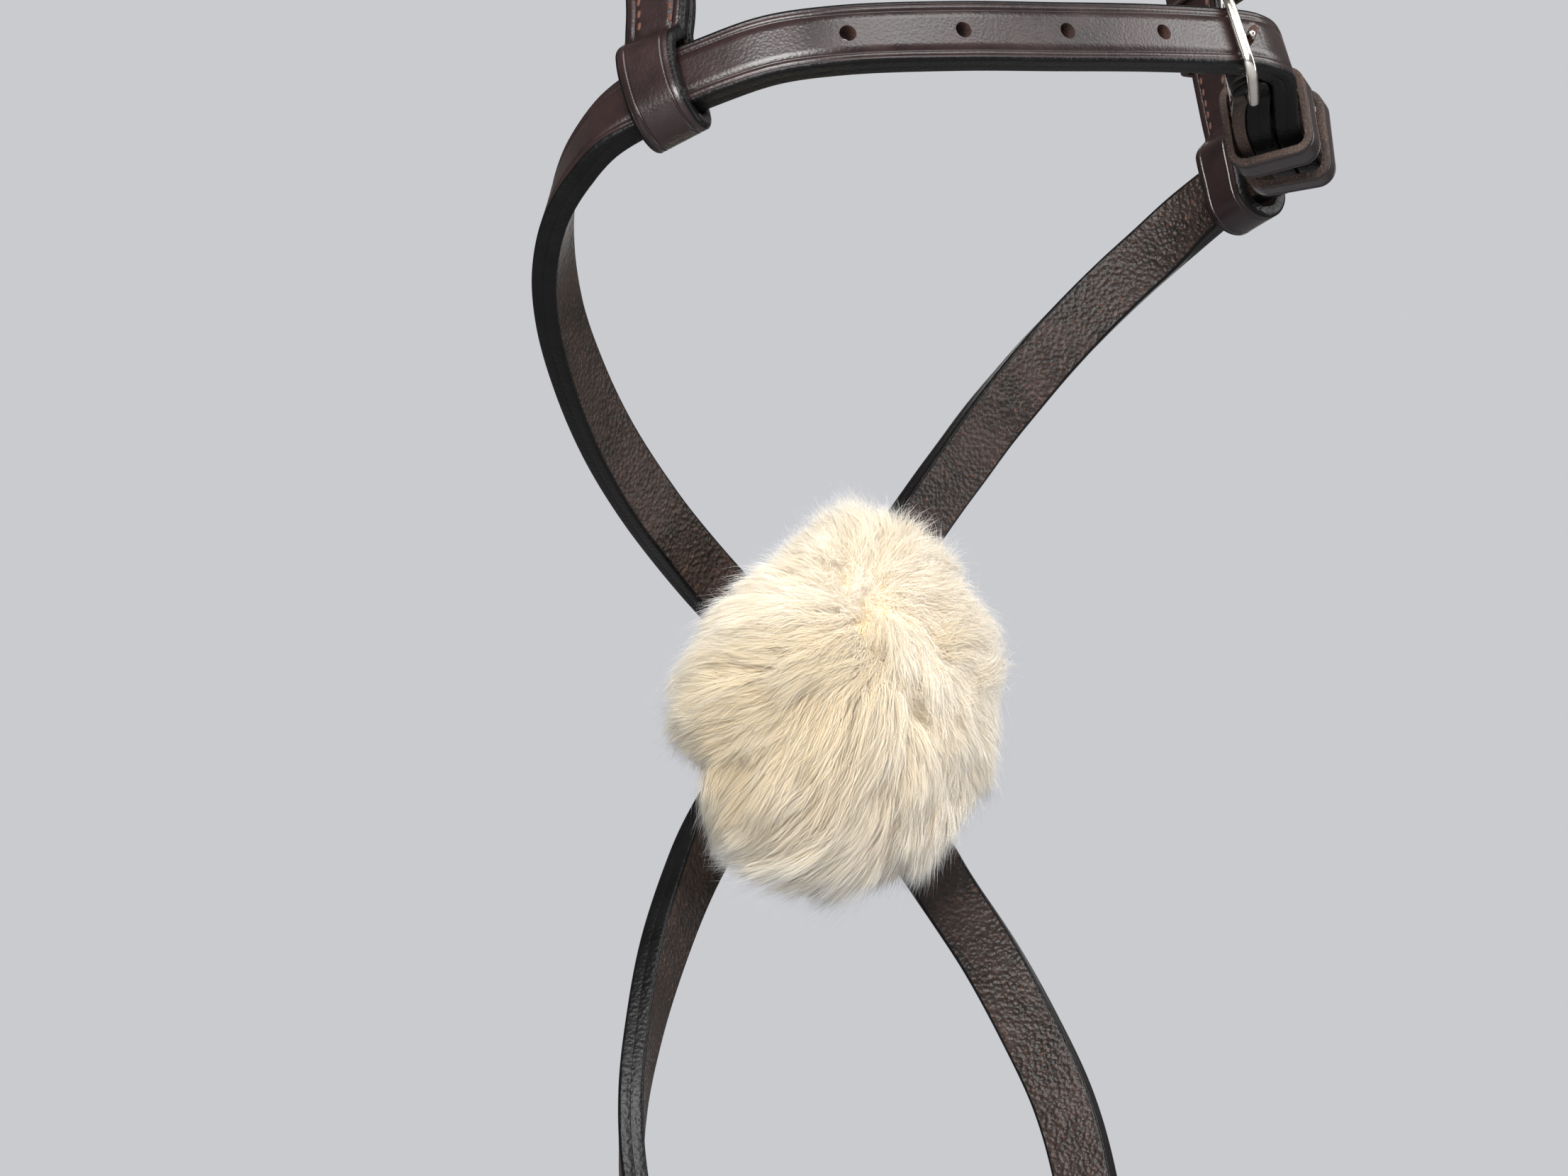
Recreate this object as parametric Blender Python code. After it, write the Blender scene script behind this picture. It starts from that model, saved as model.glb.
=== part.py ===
"""A figure-eight (crossed) noseband for a bridle, in lined leather with a sheepskin nose pad.

Two lined straps cross on the horse's nose under a rosette and a sheepskin pad. Their upper arms
pass through the two cheek hangers and buckle round the jaw, and their lower arms buckle in the
chin groove. Metres, +Z up toward the poll, +Y forward past the nose, and the origin at the
crossing, on the middle of the two straps.
"""

import math

import bmesh
import bpy
import numpy as np
from mathutils import Vector

for old_object in list(bpy.data.objects):
    bpy.data.objects.remove(old_object, do_unlink=True)

# Size of the horse's head where the noseband lies
HEAD_HALF_WIDTH = 0.100
HEAD_DEPTH = 0.116
CHEEK_RISE = 0.124
CHIN_DROP = 0.200
POLL_HEIGHT = 1.100
POLL_FORWARD = 0.150

# Straps: grain leather outside, lining leather inside, bonded
STRAP_WIDTH = 0.014
OUTER_LEATHER = 0.0026
LINING_LEATHER = 0.0026
BOND_GAP = 0.0003
EDGE_BEVEL = 0.0007
STATION_STEP = 0.0260
STATION_TURN = math.radians(15)
POINT_LENGTH = 0.012
POINT_END_SHARE = 0.22
LAY_GAP = 0.0005

# Punched holes
HOLE_DIAMETER = 0.0034
PULLED_HOLE_DIAMETER = 0.0042
HOLE_PITCH = 0.0254
UPPER_HOLES = 5
LOWER_HOLES = 6

# Buckles
WIRE_DIAMETER = 0.0024
BUCKLE_LENGTH = 0.0180
BUCKLE_CORNER = 0.0034
HEEL_CORNER = 0.0014
BUCKLE_SIDE_CLEARANCE = 0.0012
BUCKLE_SLACK = 0.0012
BAR_GAP = 0.0003
TONGUE_DIAMETER = 0.0019
TONGUE_RING_WALL = 0.0009
TONGUE_RING_WIDTH = 0.0030
TONGUE_PROUD = 0.0022
TONGUE_STANDOFF = 0.0050
FOLD_CLEARANCE = 0.0004
SLOT_WIDTH = 0.0042
SLOT_DEPTH = 0.0048
TURN_BACK = 0.034
SKIVE_START_SHARE = 0.7
SKIVE_END_SHARE = 0.4

# Keepers and runners
KEEPER_WALL = 0.0018
KEEPER_WIDTH = 0.0080
KEEPER_CORNER = 0.0034
KEEPER_CLEARANCE = 0.0009
KEEPER_EDGE_ROOM = 0.0018
KEEPER_FROM_HEEL = 0.0235
RUNNER_FROM_HEEL = 0.0385

# Cheek hangers
HANGER_WIDTH = 0.0140
HANGER_LEATHER = 0.0030
HANGER_RISE = 0.066
HANGER_NECK = 0.0125
HANGER_TAPER_SHARES = (2, 4)
HANGER_SEAM_LENGTH = 0.008
HANGER_LOOP_WIDTH = 0.0126
LOOP_SIDE_ROOM = 0.0018
LOOP_END_ROOM = 0.0020
BILLET_ROOM = 0.0062
HANGER_KEEPER_DROP = 0.015
HANGER_RUNNER_DROP = 0.032
HANGER_KEEPER_CORNER = 0.0013

# Crossing: rivet, rosette, pad backing and sheepskin
RIVET_DIAMETER = 0.0040
RIVET_HEAD_DIAMETER = 0.0100
RIVET_HEAD_HEIGHT = 0.0016
RIVET_CLEARANCE = 0.0003
ROSETTE_DIAMETER = 0.0440
ROSETTE_THICKNESS = 0.0030
BACKING_WIDTH = 0.0480
BACKING_HEIGHT = 0.0580
BACKING_THICKNESS = 0.0026
PAD_WIDTH = 0.0840
PAD_HEIGHT = 0.0900
PAD_DEPTH = 0.0250
PAD_DROP = 0.0015
PAD_OFFSET = 0.0015
PAD_SEAT_GAP = 0.0004
CUT_OVERRUN = 0.0010

CROSSING_STRAIGHT = 0.0120
CHAPE_STRAIGHT = 0.0070

STRAP_THICKNESS = OUTER_LEATHER + BOND_GAP + LINING_LEATHER
HALF_STRAP = STRAP_THICKNESS / 2
WIRE_RADIUS = WIRE_DIAMETER / 2
FOLD_RADIUS = WIRE_RADIUS + FOLD_CLEARANCE + OUTER_LEATHER / 2
CROSSING_OFFSET = (STRAP_THICKNESS + BOND_GAP) / 2
UP = np.array((0, 0, 1))
FORWARD = np.array((0, 1, 0))

# Where the straps lie. A row holds the place as shares of the head's half width, depth and
# rise (or drop), then the direction in which the flesh side looks. The first four rows are
# those that a buckle's tongue or a cheek hanger stands on.
TONGUE_TWO_SHARES = (0.347, -1.00, 1.085, -0.05, 0.95, -0.32)
TONGUE_ONE_SHARES = (0.10, -0.40, -1.00, 0.02, 0.00, 1.00)
CHEEK_TWO_SHARES = (-0.925, -0.699, 0.905, 0.98, 0.10, -0.06)
CHEEK_ONE_SHARES = (0.937, -0.41, 1.012, -1.00, 0.00, -0.06)
UPPER_TWO_SHARES = (
    (0.397, -0.996, 1.086, -0.20, 0.93, -0.32),
    TONGUE_TWO_SHARES,
    (0.087, -1.01, 1.059, 0.00, 0.95, -0.26),
    (-0.17, -1.00, 1.031, 0.05, 0.95, -0.24),
    (-0.42, -0.975, 1.006, 0.16, 0.94, -0.24),
    (-0.66, -0.92, 0.980, 0.35, 0.88, -0.26),
    (-0.78, -0.855, 0.962, 0.60, 0.75, -0.24),
    (-0.86, -0.78, 0.935, 0.90, 0.40, -0.16),
    CHEEK_TWO_SHARES,
    (-0.987, -0.615, 0.859, 0.965, -0.25, 0.00),
    (-1.015, -0.548, 0.803, 0.89, -0.45, 0.00),
    (-1.015, -0.48, 0.74, 0.74, -0.67, 0.00),
    (-0.98, -0.41, 0.67, 0.57, -0.82, 0.00),
    (-0.91, -0.335, 0.59, 0.44, -0.90, 0.00),
    (-0.79, -0.24, 0.503, 0.31, -0.95, 0.00),
    (-0.64, -0.145, 0.41, 0.17, -0.98, 0.00),
    (-0.47, -0.065, 0.316, 0.03, -1.00, 0.00),
    (-0.29, 0.00, 0.225, 0.00, -1.00, 0.00),
)
LOWER_TWO_SHARES = (
    (0.34, 0.00, -0.17, -0.42, -0.90, 0.00),
    (0.40, 0.00, -0.207, -0.60, -0.80, 0.00),
    (0.51, -0.03, -0.288, -0.70, -0.70, 0.00),
    (0.585, -0.073, -0.37, -0.79, -0.62, 0.00),
    (0.63, -0.13, -0.453, -0.82, -0.57, 0.05),
    (0.645, -0.178, -0.535, -0.87, -0.50, 0.10),
    (0.645, -0.224, -0.645, -0.90, -0.30, 0.25),
    (0.60, -0.276, -0.75, -0.80, -0.15, 0.50),
    (0.50, -0.328, -0.835, -0.65, -0.05, 0.75),
    (0.36, -0.37, -0.905, -0.50, 0.00, 0.85),
)
UPPER_ONE_SHARES = (
    (0.56, -0.835, 1.01, -0.50, 0.85, -0.22),
    (0.69, -0.76, 0.995, -0.57, 0.80, -0.12),
    (0.82, -0.665, 0.995, -0.77, 0.62, -0.06),
    (0.91, -0.545, 1.015, -0.95, 0.30, -0.05),
    CHEEK_ONE_SHARES,
    (0.915, -0.293, 0.965, -0.87, -0.50, 0.00),
    (0.874, -0.205, 0.906, -0.57, -0.82, 0.00),
    (0.817, -0.137, 0.842, -0.54, -0.84, 0.00),
    (0.746, -0.092, 0.772, -0.50, -0.87, 0.00),
    (0.668, -0.064, 0.70, -0.39, -0.92, 0.00),
    (0.595, -0.04, 0.627, -0.29, -0.96, 0.00),
    (0.522, -0.022, 0.554, -0.16, -0.99, 0.00),
    (0.454, -0.008, 0.48, -0.09, -1.00, 0.00),
    (0.383, 0.00, 0.407, 0.00, -1.00, 0.00),
)
LOWER_ONE_SHARES = (
    (-0.258, 0.00, -0.164, 0.26, -0.97, 0.00),
    (-0.335, -0.019, -0.222, 0.42, -0.91, 0.00),
    (-0.429, -0.055, -0.304, 0.55, -0.83, 0.00),
    (-0.497, -0.086, -0.383, 0.70, -0.71, 0.00),
    (-0.548, -0.117, -0.46, 0.79, -0.61, 0.00),
    (-0.57, -0.145, -0.536, 0.87, -0.50, 0.08),
    (-0.575, -0.21, -0.65, 0.90, -0.32, 0.22),
    (-0.53, -0.275, -0.76, 0.80, -0.15, 0.50),
    (-0.40, -0.33, -0.87, 0.60, -0.05, 0.80),
    (-0.22, -0.37, -0.95, 0.35, 0.00, 0.93),
    (-0.03, -0.397, -0.993, 0.10, 0.00, 0.99),
    TONGUE_ONE_SHARES,
    (0.15, -0.40, -1.00, -0.06, 0.00, 1.00),
)
# How far the free end of a billet lies from the strap below it, at stations from the heel bar
TAIL_SHARES = ((0.02, 1.00), (0.18, 1.00), (0.36, 1.00), (0.56, 1.00), (0.78, 1.00), (1.00, 1.00))
TAIL_REACH = 0.060


def unit(vector):
    return vector / np.linalg.norm(vector)


def square_to(direction, axis):
    """The part of a direction at right angles to an axis, as a unit vector."""
    return unit(direction - np.dot(direction, axis) * axis)


class Route:
    """A smooth line through stations, with the side that the grain looks to."""

    def __init__(self, places, inner_sides):
        places = np.array(places, float)
        inner_sides = np.array(inner_sides, float)
        knots = np.concatenate(([0], np.cumsum(np.linalg.norm(np.diff(places, axis=0), axis=1) ** 0.5)))
        knots = np.concatenate(([-knots[1]], knots, [2 * knots[-1] - knots[-2]]))
        data = np.hstack((places, inner_sides))
        data = np.vstack((2 * data[0] - data[1], data, 2 * data[-1] - data[-2]))
        fine, self.rows = [], []
        for i in range(1, len(data) - 2):
            self.rows.append(len(fine))
            for share in np.linspace(0, 1, 24, endpoint=False):
                fine.append(self.blend(data, knots, i, knots[i] + share * (knots[i + 1] - knots[i])))
        self.rows.append(len(fine))
        fine.append(data[-2])
        fine = np.array(fine)
        self.points = fine[:, :3]
        tangents = np.gradient(self.points, axis=0)
        self.tangents = tangents / np.linalg.norm(tangents, axis=1)[:, None]
        outward = -fine[:, 3:]
        outward -= (outward * self.tangents).sum(1)[:, None] * self.tangents
        self.outward = outward / np.linalg.norm(outward, axis=1)[:, None]
        steps = np.linalg.norm(np.diff(self.points, axis=0), axis=1)
        self.distances = np.concatenate(([0], np.cumsum(steps)))
        self.length = self.distances[-1]

    @staticmethod
    def blend(data, knots, i, t):
        """One point of the centripetal curve between stations i and i + 1."""

        def mix(a, b, low, high):
            return ((knots[high] - t) * a + (t - knots[low]) * b) / (knots[high] - knots[low])

        first = mix(data[i - 1], data[i], i - 1, i)
        middle = mix(data[i], data[i + 1], i, i + 1)
        last = mix(data[i + 1], data[i + 2], i + 1, i + 2)
        return mix(mix(first, middle, i - 1, i + 1), mix(middle, last, i, i + 2), i, i + 1)

    def row_distance(self, row):
        """Distance along the route to one of its stations."""
        return self.distances[self.rows[row]]

    def at(self, distance):
        """Centre, direction, outward side and width direction at a distance along the route."""
        pick = [np.interp(distance, self.distances, self.points[:, k]) for k in range(3)]
        along = unit(np.array([np.interp(distance, self.distances, self.tangents[:, k]) for k in range(3)]))
        out = np.array([np.interp(distance, self.distances, self.outward[:, k]) for k in range(3)])
        out = square_to(out, along)
        return np.array(pick), along, out, np.cross(out, along)

    def nearest(self, place):
        return self.distances[np.argmin(np.linalg.norm(self.points - place, axis=1))]

    def stations(self, start, end):
        """Distances from start to end, closer together where the strap bends or twists."""
        steps = np.diff(self.distances) / STATION_STEP
        for sides, weight in ((self.tangents, 1), (self.outward, 0.5)):
            turns = np.arccos(np.clip((sides[1:] * sides[:-1]).sum(1), -1, 1))
            steps = steps + weight * turns / STATION_TURN
        measure = np.concatenate(([0], np.cumsum(steps)))
        low, high = np.interp((start, end), self.distances, measure)
        count = math.ceil(abs(high - low)) + 1
        return np.interp(np.linspace(low, high, count), measure, self.distances)


def scaled(rows, vertical):
    """Places and flesh sides of a table's rows, at real size."""
    size = np.array((HEAD_HALF_WIDTH, HEAD_DEPTH, vertical))
    return [np.array(row[:3]) * size for row in rows], [np.array(row[3:]) for row in rows]


def material(name, colour, roughness, metallic=0):
    made = bpy.data.materials.new(name)
    made.use_nodes = True
    shader = made.node_tree.nodes["Principled BSDF"]
    shader.inputs["Base Color"].default_value = (*colour, 1)
    shader.inputs["Roughness"].default_value = roughness
    shader.inputs["Metallic"].default_value = metallic
    return made


GRAIN = (0.024, 0.016, 0.016)
FLESH = (0.022, 0.017, 0.015)
NICKEL = (0.70, 0.68, 0.64)
WOOL = (0.90, 0.80, 0.62)


def face_outward(bm):
    """Makes all faces of a closed body look outward."""
    bmesh.ops.recalc_face_normals(bm, faces=bm.faces)
    if bm.calc_volume(signed=True) < 0:
        bmesh.ops.reverse_faces(bm, faces=bm.faces)


def finish(bm, name, colour, roughness, metallic=0, origin=None):
    """Turns a bmesh into a named object with its own material, its origin on its joint's axis."""
    face_outward(bm)
    if origin is not None:
        bmesh.ops.translate(bm, verts=bm.verts, vec=-Vector(origin))
    mesh = bpy.data.meshes.new(name)
    bm.to_mesh(mesh)
    bm.free()
    mesh.materials.append(material(name + "_finish", colour, roughness, metallic))
    mesh.shade_smooth()
    mesh.set_sharp_from_angle(angle=math.radians(35))
    made = bpy.data.objects.new(name, mesh)
    bpy.context.collection.objects.link(made)
    if origin is not None:
        made.location = Vector(origin)
    return made


def bridge(rings, closed=False, turned_back=None):
    """A closed body from rings of points: capped at its ends, or joined end to end. Each side is
    split in two. Along a strap the split runs the same way on both faces, so that twisted
    leathers which lie on each other stay parallel. turned_back counts the first rings that run
    the other way."""
    bm = bmesh.new()
    rows = [[bm.verts.new(Vector(point)) for point in ring] for ring in rings]
    pairs = list(zip(rows, rows[1:]))
    if closed:
        pairs.append((rows[-1], rows[0]))
    for i, (near, far) in enumerate(pairs):
        for k in range(len(near)):
            after = (k + 1) % len(near)
            if turned_back is not None and (k in HIGH_SIDES) != (i < turned_back):
                bm.faces.new((near[k], near[after], far[k]))
                bm.faces.new((near[after], far[after], far[k]))
            else:
                bm.faces.new((near[k], near[after], far[after]))
                bm.faces.new((near[k], far[after], far[k]))
    if not closed:
        bm.faces.new(rows[0])
        bm.faces.new(rows[-1])
    return bm


# Sides of a band's section that look outward
HIGH_SIDES = (4, 5, 6)


def band_section(half_width, low, high):
    """Outline of a strap's cross section with chamfered edges: across, then outward."""
    bevel = min(EDGE_BEVEL, (high - low) / 3, half_width / 3)
    return (
        (-half_width, low + bevel),
        (-half_width + bevel, low),
        (half_width - bevel, low),
        (half_width, low + bevel),
        (half_width, high - bevel),
        (half_width - bevel, high),
        (-half_width + bevel, high),
        (-half_width, high - bevel),
    )


def ring_at(centre, outward, across, section):
    return [centre + across * w + outward * h for w, h in section]


def strap_rings(route, marks, low, high):
    """Rings of one leather of a strap, which narrows to a point at its free end."""
    end = marks[-1]
    kept = [mark for mark in marks if end - mark > POINT_LENGTH * 1.2]
    rings = []
    for distance in kept + [end - POINT_LENGTH * share for share in (1, 0.6, 0.3, 0.1, 0)]:
        centre, along, outward, across = route.at(distance)
        left = min(1, (end - distance) / POINT_LENGTH)
        share = POINT_END_SHARE + (1 - POINT_END_SHARE) * math.sin(left * math.pi / 2)
        half_width = STRAP_WIDTH / 2 * share
        rings.append(ring_at(centre, outward, across, band_section(half_width, low, high)))
    return rings


def folded_rings(route, marks, heel):
    """Rings of the grain leather of a strap's buckle end, from the tail of its turn-back, round
    the heel bar and on to the strap's own outer side, and how many lie in the turn-back."""
    centre_line = BOND_GAP / 2 + OUTER_LEATHER / 2
    half = OUTER_LEATHER / 2
    rings = []
    for distance in [TURN_BACK] + [mark for mark in reversed(marks) if mark < TURN_BACK * 0.95]:
        centre, along, outward, across = route.at(distance)
        inner = centre + outward * (centre_line - 2 * FOLD_RADIUS)
        skived = max(0, distance / TURN_BACK - SKIVE_START_SHARE) / (1 - SKIVE_START_SHARE)
        skive = 1 - (1 - SKIVE_END_SHARE) * skived
        section = band_section(STRAP_WIDTH / 2, -half * skive, half)
        rings.append(ring_at(inner, -outward, -across, [(-w, h) for w, h in section]))
    turned_back = len(rings)
    start, along, outward, across = route.at(0)
    section = band_section(STRAP_WIDTH / 2, -half, half)
    for angle in np.linspace(0, math.pi, 8)[1:-1]:
        spoke = -outward * math.cos(angle) - along * math.sin(angle)
        rings.append(ring_at(heel + spoke * FOLD_RADIUS, spoke, across, section))
    return rings, turned_back


def cylinder(centre, axis, radius, half_length, sides=10):
    """A closed cylinder as a bmesh."""
    axis = unit(np.array(axis, float))
    first = square_to(np.array((axis[1], axis[2], axis[0])) + UP * (abs(axis[2]) < 0.5), axis)
    second = np.cross(axis, first)
    turns = np.linspace(0, 2 * math.pi, sides, endpoint=False)
    rim = [first * math.cos(turn) * radius + second * math.sin(turn) * radius for turn in turns]
    return bridge([[centre + axis * side * half_length + point for point in rim] for side in (-1, 1)])


def box(centre, axes, halves):
    corners = [(-1, -1), (1, -1), (1, 1), (-1, 1)]
    rings = []
    for side in (-1, 1):
        ring = [
            centre + axes[0] * side * halves[0] + axes[1] * a * halves[1] + axes[2] * b * halves[2]
            for a, b in corners
        ]
        rings.append(ring)
    return bridge(rings)


def cutter(name, bodies):
    """One cutter object from several closed bodies, left out of the build."""
    mesh = bpy.data.meshes.new(name)
    joined = bmesh.new()
    for body in bodies:
        face_outward(body)
        body.to_mesh(mesh)
        body.free()
        joined.from_mesh(mesh)
    joined.to_mesh(mesh)
    joined.free()
    made = bpy.data.objects.new(name, mesh)
    bpy.context.collection.objects.link(made)
    made.hide_render = True
    made.display_type = "WIRE"
    return made


def combine(target, other, operation):
    boolean = target.modifiers.new(operation.lower() + "_" + other.name, "BOOLEAN")
    boolean.operation = operation
    boolean.object = other


def ring_band(path, normals, across, half_width, thickness):
    """A closed leather or metal band: a section carried round a closed path."""
    half = thickness / 2
    section = band_section(half_width, -half, half)
    rings = [ring_at(point, normal, across, section) for point, normal in zip(path, normals)]
    return bridge(rings, closed=True)


def closed_path(outline, centre, first, second):
    """Points and outward normals of a flat closed outline in the plane of two directions."""
    flat = np.array(outline)
    ahead = np.roll(flat, -1, axis=0) - flat
    behind = flat - np.roll(flat, 1, axis=0)
    direction = ahead / np.linalg.norm(ahead, axis=1)[:, None]
    direction = direction + behind / np.linalg.norm(behind, axis=1)[:, None]
    direction /= np.linalg.norm(direction, axis=1)[:, None]
    points = [centre + first * a + second * b for a, b in flat]
    normals = [first * d[1] - second * d[0] for d in direction]
    return points, normals


def rounded_rectangle(low_a, high_a, low_b, high_b, low_corner, high_corner, steps=3):
    """Outline points, anticlockwise, with each corner an arc."""
    outline = []
    corners = (
        (high_a - high_corner, high_b - high_corner, high_corner),
        (low_a + low_corner, high_b - low_corner, low_corner),
        (low_a + low_corner, low_b + low_corner, low_corner),
        (high_a - high_corner, low_b + high_corner, high_corner),
    )
    for quarter, (a, b, corner) in enumerate(corners):
        for turn in np.linspace(0, math.pi / 2, steps + 1):
            angle = turn + quarter * math.pi / 2
            outline.append((a + corner * math.cos(angle), b + corner * math.sin(angle)))
    return outline


def keeper(name, route, distance, low, high, half_width, origin=None):
    """A leather keeper round a strap and the billet that lies on it."""
    centre, along, outward, across = route.at(distance)
    half = KEEPER_WALL / 2
    outline = rounded_rectangle(
        -half_width - half, half_width + half, low - half, high + half, KEEPER_CORNER, KEEPER_CORNER
    )
    path, normals = closed_path(outline, centre, across, outward)
    body = ring_band(path, normals, along, KEEPER_WIDTH / 2, KEEPER_WALL)
    return finish(body, name, GRAIN, 0.42, origin=centre if origin else None)


def buckle_frame(name, heel, ahead, across):
    """A wire buckle frame. The heel bar lies on the origin, and the outer bar is ahead of it."""
    half = STRAP_WIDTH / 2 + BUCKLE_SIDE_CLEARANCE + WIRE_RADIUS
    outline = rounded_rectangle(0, BUCKLE_LENGTH, -half, half, HEEL_CORNER, BUCKLE_CORNER)
    path, normals = closed_path(outline, heel, ahead, across)
    out = np.cross(ahead, across)
    turns = np.linspace(0, 2 * math.pi, 8, endpoint=False)
    rings = []
    for point, normal in zip(path, normals):
        rings.append([
            point + (normal * math.cos(turn) + out * math.sin(turn)) * WIRE_RADIUS for turn in turns
        ])
    return finish(bridge(rings, closed=True), name, NICKEL, 0.22, 1, origin=heel)


def tongue(name, heel, pin_direction, across, length):
    """A buckle tongue: an eye round the heel bar and a pin with a blunt end."""
    eye_radius = WIRE_RADIUS + BAR_GAP + TONGUE_RING_WALL / 2
    lift = np.cross(pin_direction, across)
    turns = (np.arange(12) + 0.5) * math.pi / 6
    normals = [pin_direction * math.cos(turn) + lift * math.sin(turn) for turn in turns]
    path = [heel + normal * eye_radius for normal in normals]
    eye = finish(
        ring_band(path, normals, across, TONGUE_RING_WIDTH / 2, TONGUE_RING_WALL),
        name, NICKEL, 0.22, 1, origin=heel,
    )
    radius = TONGUE_DIAMETER / 2
    places = ((eye_radius, radius), (length - radius, radius), (length - radius * 0.4, radius * 0.8),
              (length, radius * 0.35))
    rings = []
    for distance, size in places:
        rings.append([
            heel + pin_direction * distance + (across * math.cos(turn) + lift * math.sin(turn)) * size
            for turn in (np.arange(8) + 0.5) * math.pi / 4
        ])
    pin = cutter(name + "_pin", [bridge(rings)])
    combine(eye, pin, "UNION")
    return eye


def turned(profile, centre, axis, stretch=1, bored=True, sides=32):
    """A body turned about an axis from (radius, height) points, stretched along +Z if oval."""
    first = unit(np.cross(axis, UP))
    turns = np.linspace(0, 2 * math.pi, sides, endpoint=False)
    spokes = [first * math.cos(turn) + UP * stretch * math.sin(turn) for turn in turns]
    if bored:
        rings = [[centre + spoke * r + axis * h for r, h in profile] for spoke in spokes]
        return bridge(rings, closed=True)
    return bridge([[centre + spoke * r + axis * h for spoke in spokes] for r, h in profile])


def buckle_pose(route, distance, toward_tip):
    """Where a buckle stands on a billet at one of its holes: heel bar, direction from the heel
    to the outer bar, width direction, and the tongue's direction and length."""
    centre, along, outward, across = route.at(distance)
    along = along * toward_tip
    across = np.cross(outward, along)
    bar_height = HALF_STRAP + BAR_GAP + WIRE_RADIUS
    heel_depth = HALF_STRAP + FOLD_CLEARANCE + FOLD_RADIUS + OUTER_LEATHER / 2 + BUCKLE_SLACK
    slope = math.asin((bar_height + heel_depth) / BUCKLE_LENGTH)
    bar = centre + outward * bar_height - along * TONGUE_STANDOFF
    heel = bar + (along * math.cos(slope) - outward * math.sin(slope)) * BUCKLE_LENGTH
    hole = centre + outward * HALF_STRAP
    pin = hole - heel
    return {
        "heel": heel,
        "ahead": unit(bar - heel),
        "across": across,
        "outward": outward,
        "pin": unit(pin),
        "pin_length": np.linalg.norm(pin) + TONGUE_PROUD,
    }


def chape_start(pose, next_place):
    """The first two stations of a buckle end's strap: its middle line beside the heel bar, then
    a short straight, both square to the bar."""
    along = square_to(next_place - pose["heel"], pose["across"])
    outward = np.cross(along, pose["across"])
    outward = outward * math.copysign(1, np.dot(outward, pose["outward"]))
    start = pose["heel"] + outward * (FOLD_RADIUS - BOND_GAP / 2 - OUTER_LEATHER / 2)
    return [start, start + along * CHAPE_STRAIGHT], [-outward, -outward]


def crossing_stations(before, after, forward):
    """Three stations through the crossing, flat against the other strap."""
    along = square_to(after - before, FORWARD)
    middle = FORWARD * forward
    places = [middle + along * CROSSING_STRAIGHT * side for side in (-1, 0, 1)]
    return places, [-FORWARD] * 3


def tail_stations(carrier):
    """Stations of a billet's free end, laid on the outer side of the strap that carries it."""
    spacing = STRAP_THICKNESS + LAY_GAP
    places, sides = [], []
    for reach, share in TAIL_SHARES:
        centre, along, outward, across = carrier.at(reach * TAIL_REACH)
        places.append(centre + outward * spacing * share)
        sides.append(-outward)
    return places, sides


# Strap two's holed billet is placed first, because the upper buckle stands on it
upper_two, upper_two_sides = scaled(UPPER_TWO_SHARES, CHEEK_RISE)
lower_two, lower_two_sides = scaled(LOWER_TWO_SHARES, CHIN_DROP)
upper_one, upper_one_sides = scaled(UPPER_ONE_SHARES, CHEEK_RISE)
lower_one, lower_one_sides = scaled(LOWER_ONE_SHARES, CHIN_DROP)
upper_billet = Route(upper_two, upper_two_sides)
upper_row = UPPER_TWO_SHARES.index(TONGUE_TWO_SHARES)
upper_pose = buckle_pose(upper_billet, upper_billet.row_distance(upper_row), -1)
lower_billet = Route(lower_one, lower_one_sides)
lower_row = LOWER_ONE_SHARES.index(TONGUE_ONE_SHARES)
lower_pose = buckle_pose(lower_billet, lower_billet.row_distance(lower_row), 1)

start_one, start_one_sides = chape_start(upper_pose, upper_one[0])
chape_one = Route(start_one + upper_one, start_one_sides + upper_one_sides)
start_two, start_two_sides = chape_start(lower_pose, lower_two[-1])
chape_two = Route(start_two + lower_two[::-1], start_two_sides + lower_two_sides[::-1])

tail_two, tail_two_sides = tail_stations(chape_one)
tail_one, tail_one_sides = tail_stations(chape_two)
cross_one, cross_one_sides = crossing_stations(upper_one[-1], lower_one[0], CROSSING_OFFSET)
cross_two, cross_two_sides = crossing_stations(lower_two[0], upper_two[-1], -CROSSING_OFFSET)

strap_one = Route(
    start_one + upper_one + cross_one + lower_one + tail_one,
    start_one_sides + upper_one_sides + cross_one_sides + lower_one_sides + tail_one_sides,
)
strap_two = Route(
    start_two + lower_two[::-1] + cross_two + upper_two[::-1] + tail_two,
    start_two_sides + lower_two_sides[::-1] + cross_two_sides + upper_two_sides[::-1]
    + tail_two_sides,
)
outer_low = BOND_GAP / 2
outer_high = outer_low + OUTER_LEATHER
lining_low = -BOND_GAP / 2 - LINING_LEATHER
lining_high = -BOND_GAP / 2


def hole_cutters(route, engaged, count, direction, pose):
    """Cutters for a billet's punched holes and for the one that its tongue has pulled aslant."""
    bodies = []
    for k in range(-1, count):
        if k == 0:
            continue
        centre, along, outward, across = route.at(engaged + direction * k * HOLE_PITCH)
        bodies.append(cylinder(centre, outward, HOLE_DIAMETER / 2, STRAP_THICKNESS))
    centre, along, outward, across = route.at(engaged)
    pulled = centre + outward * HALF_STRAP - pose["pin"] * HALF_STRAP
    bodies.append(cylinder(pulled, pose["pin"], PULLED_HOLE_DIAMETER / 2, STRAP_THICKNESS))
    return bodies


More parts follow.
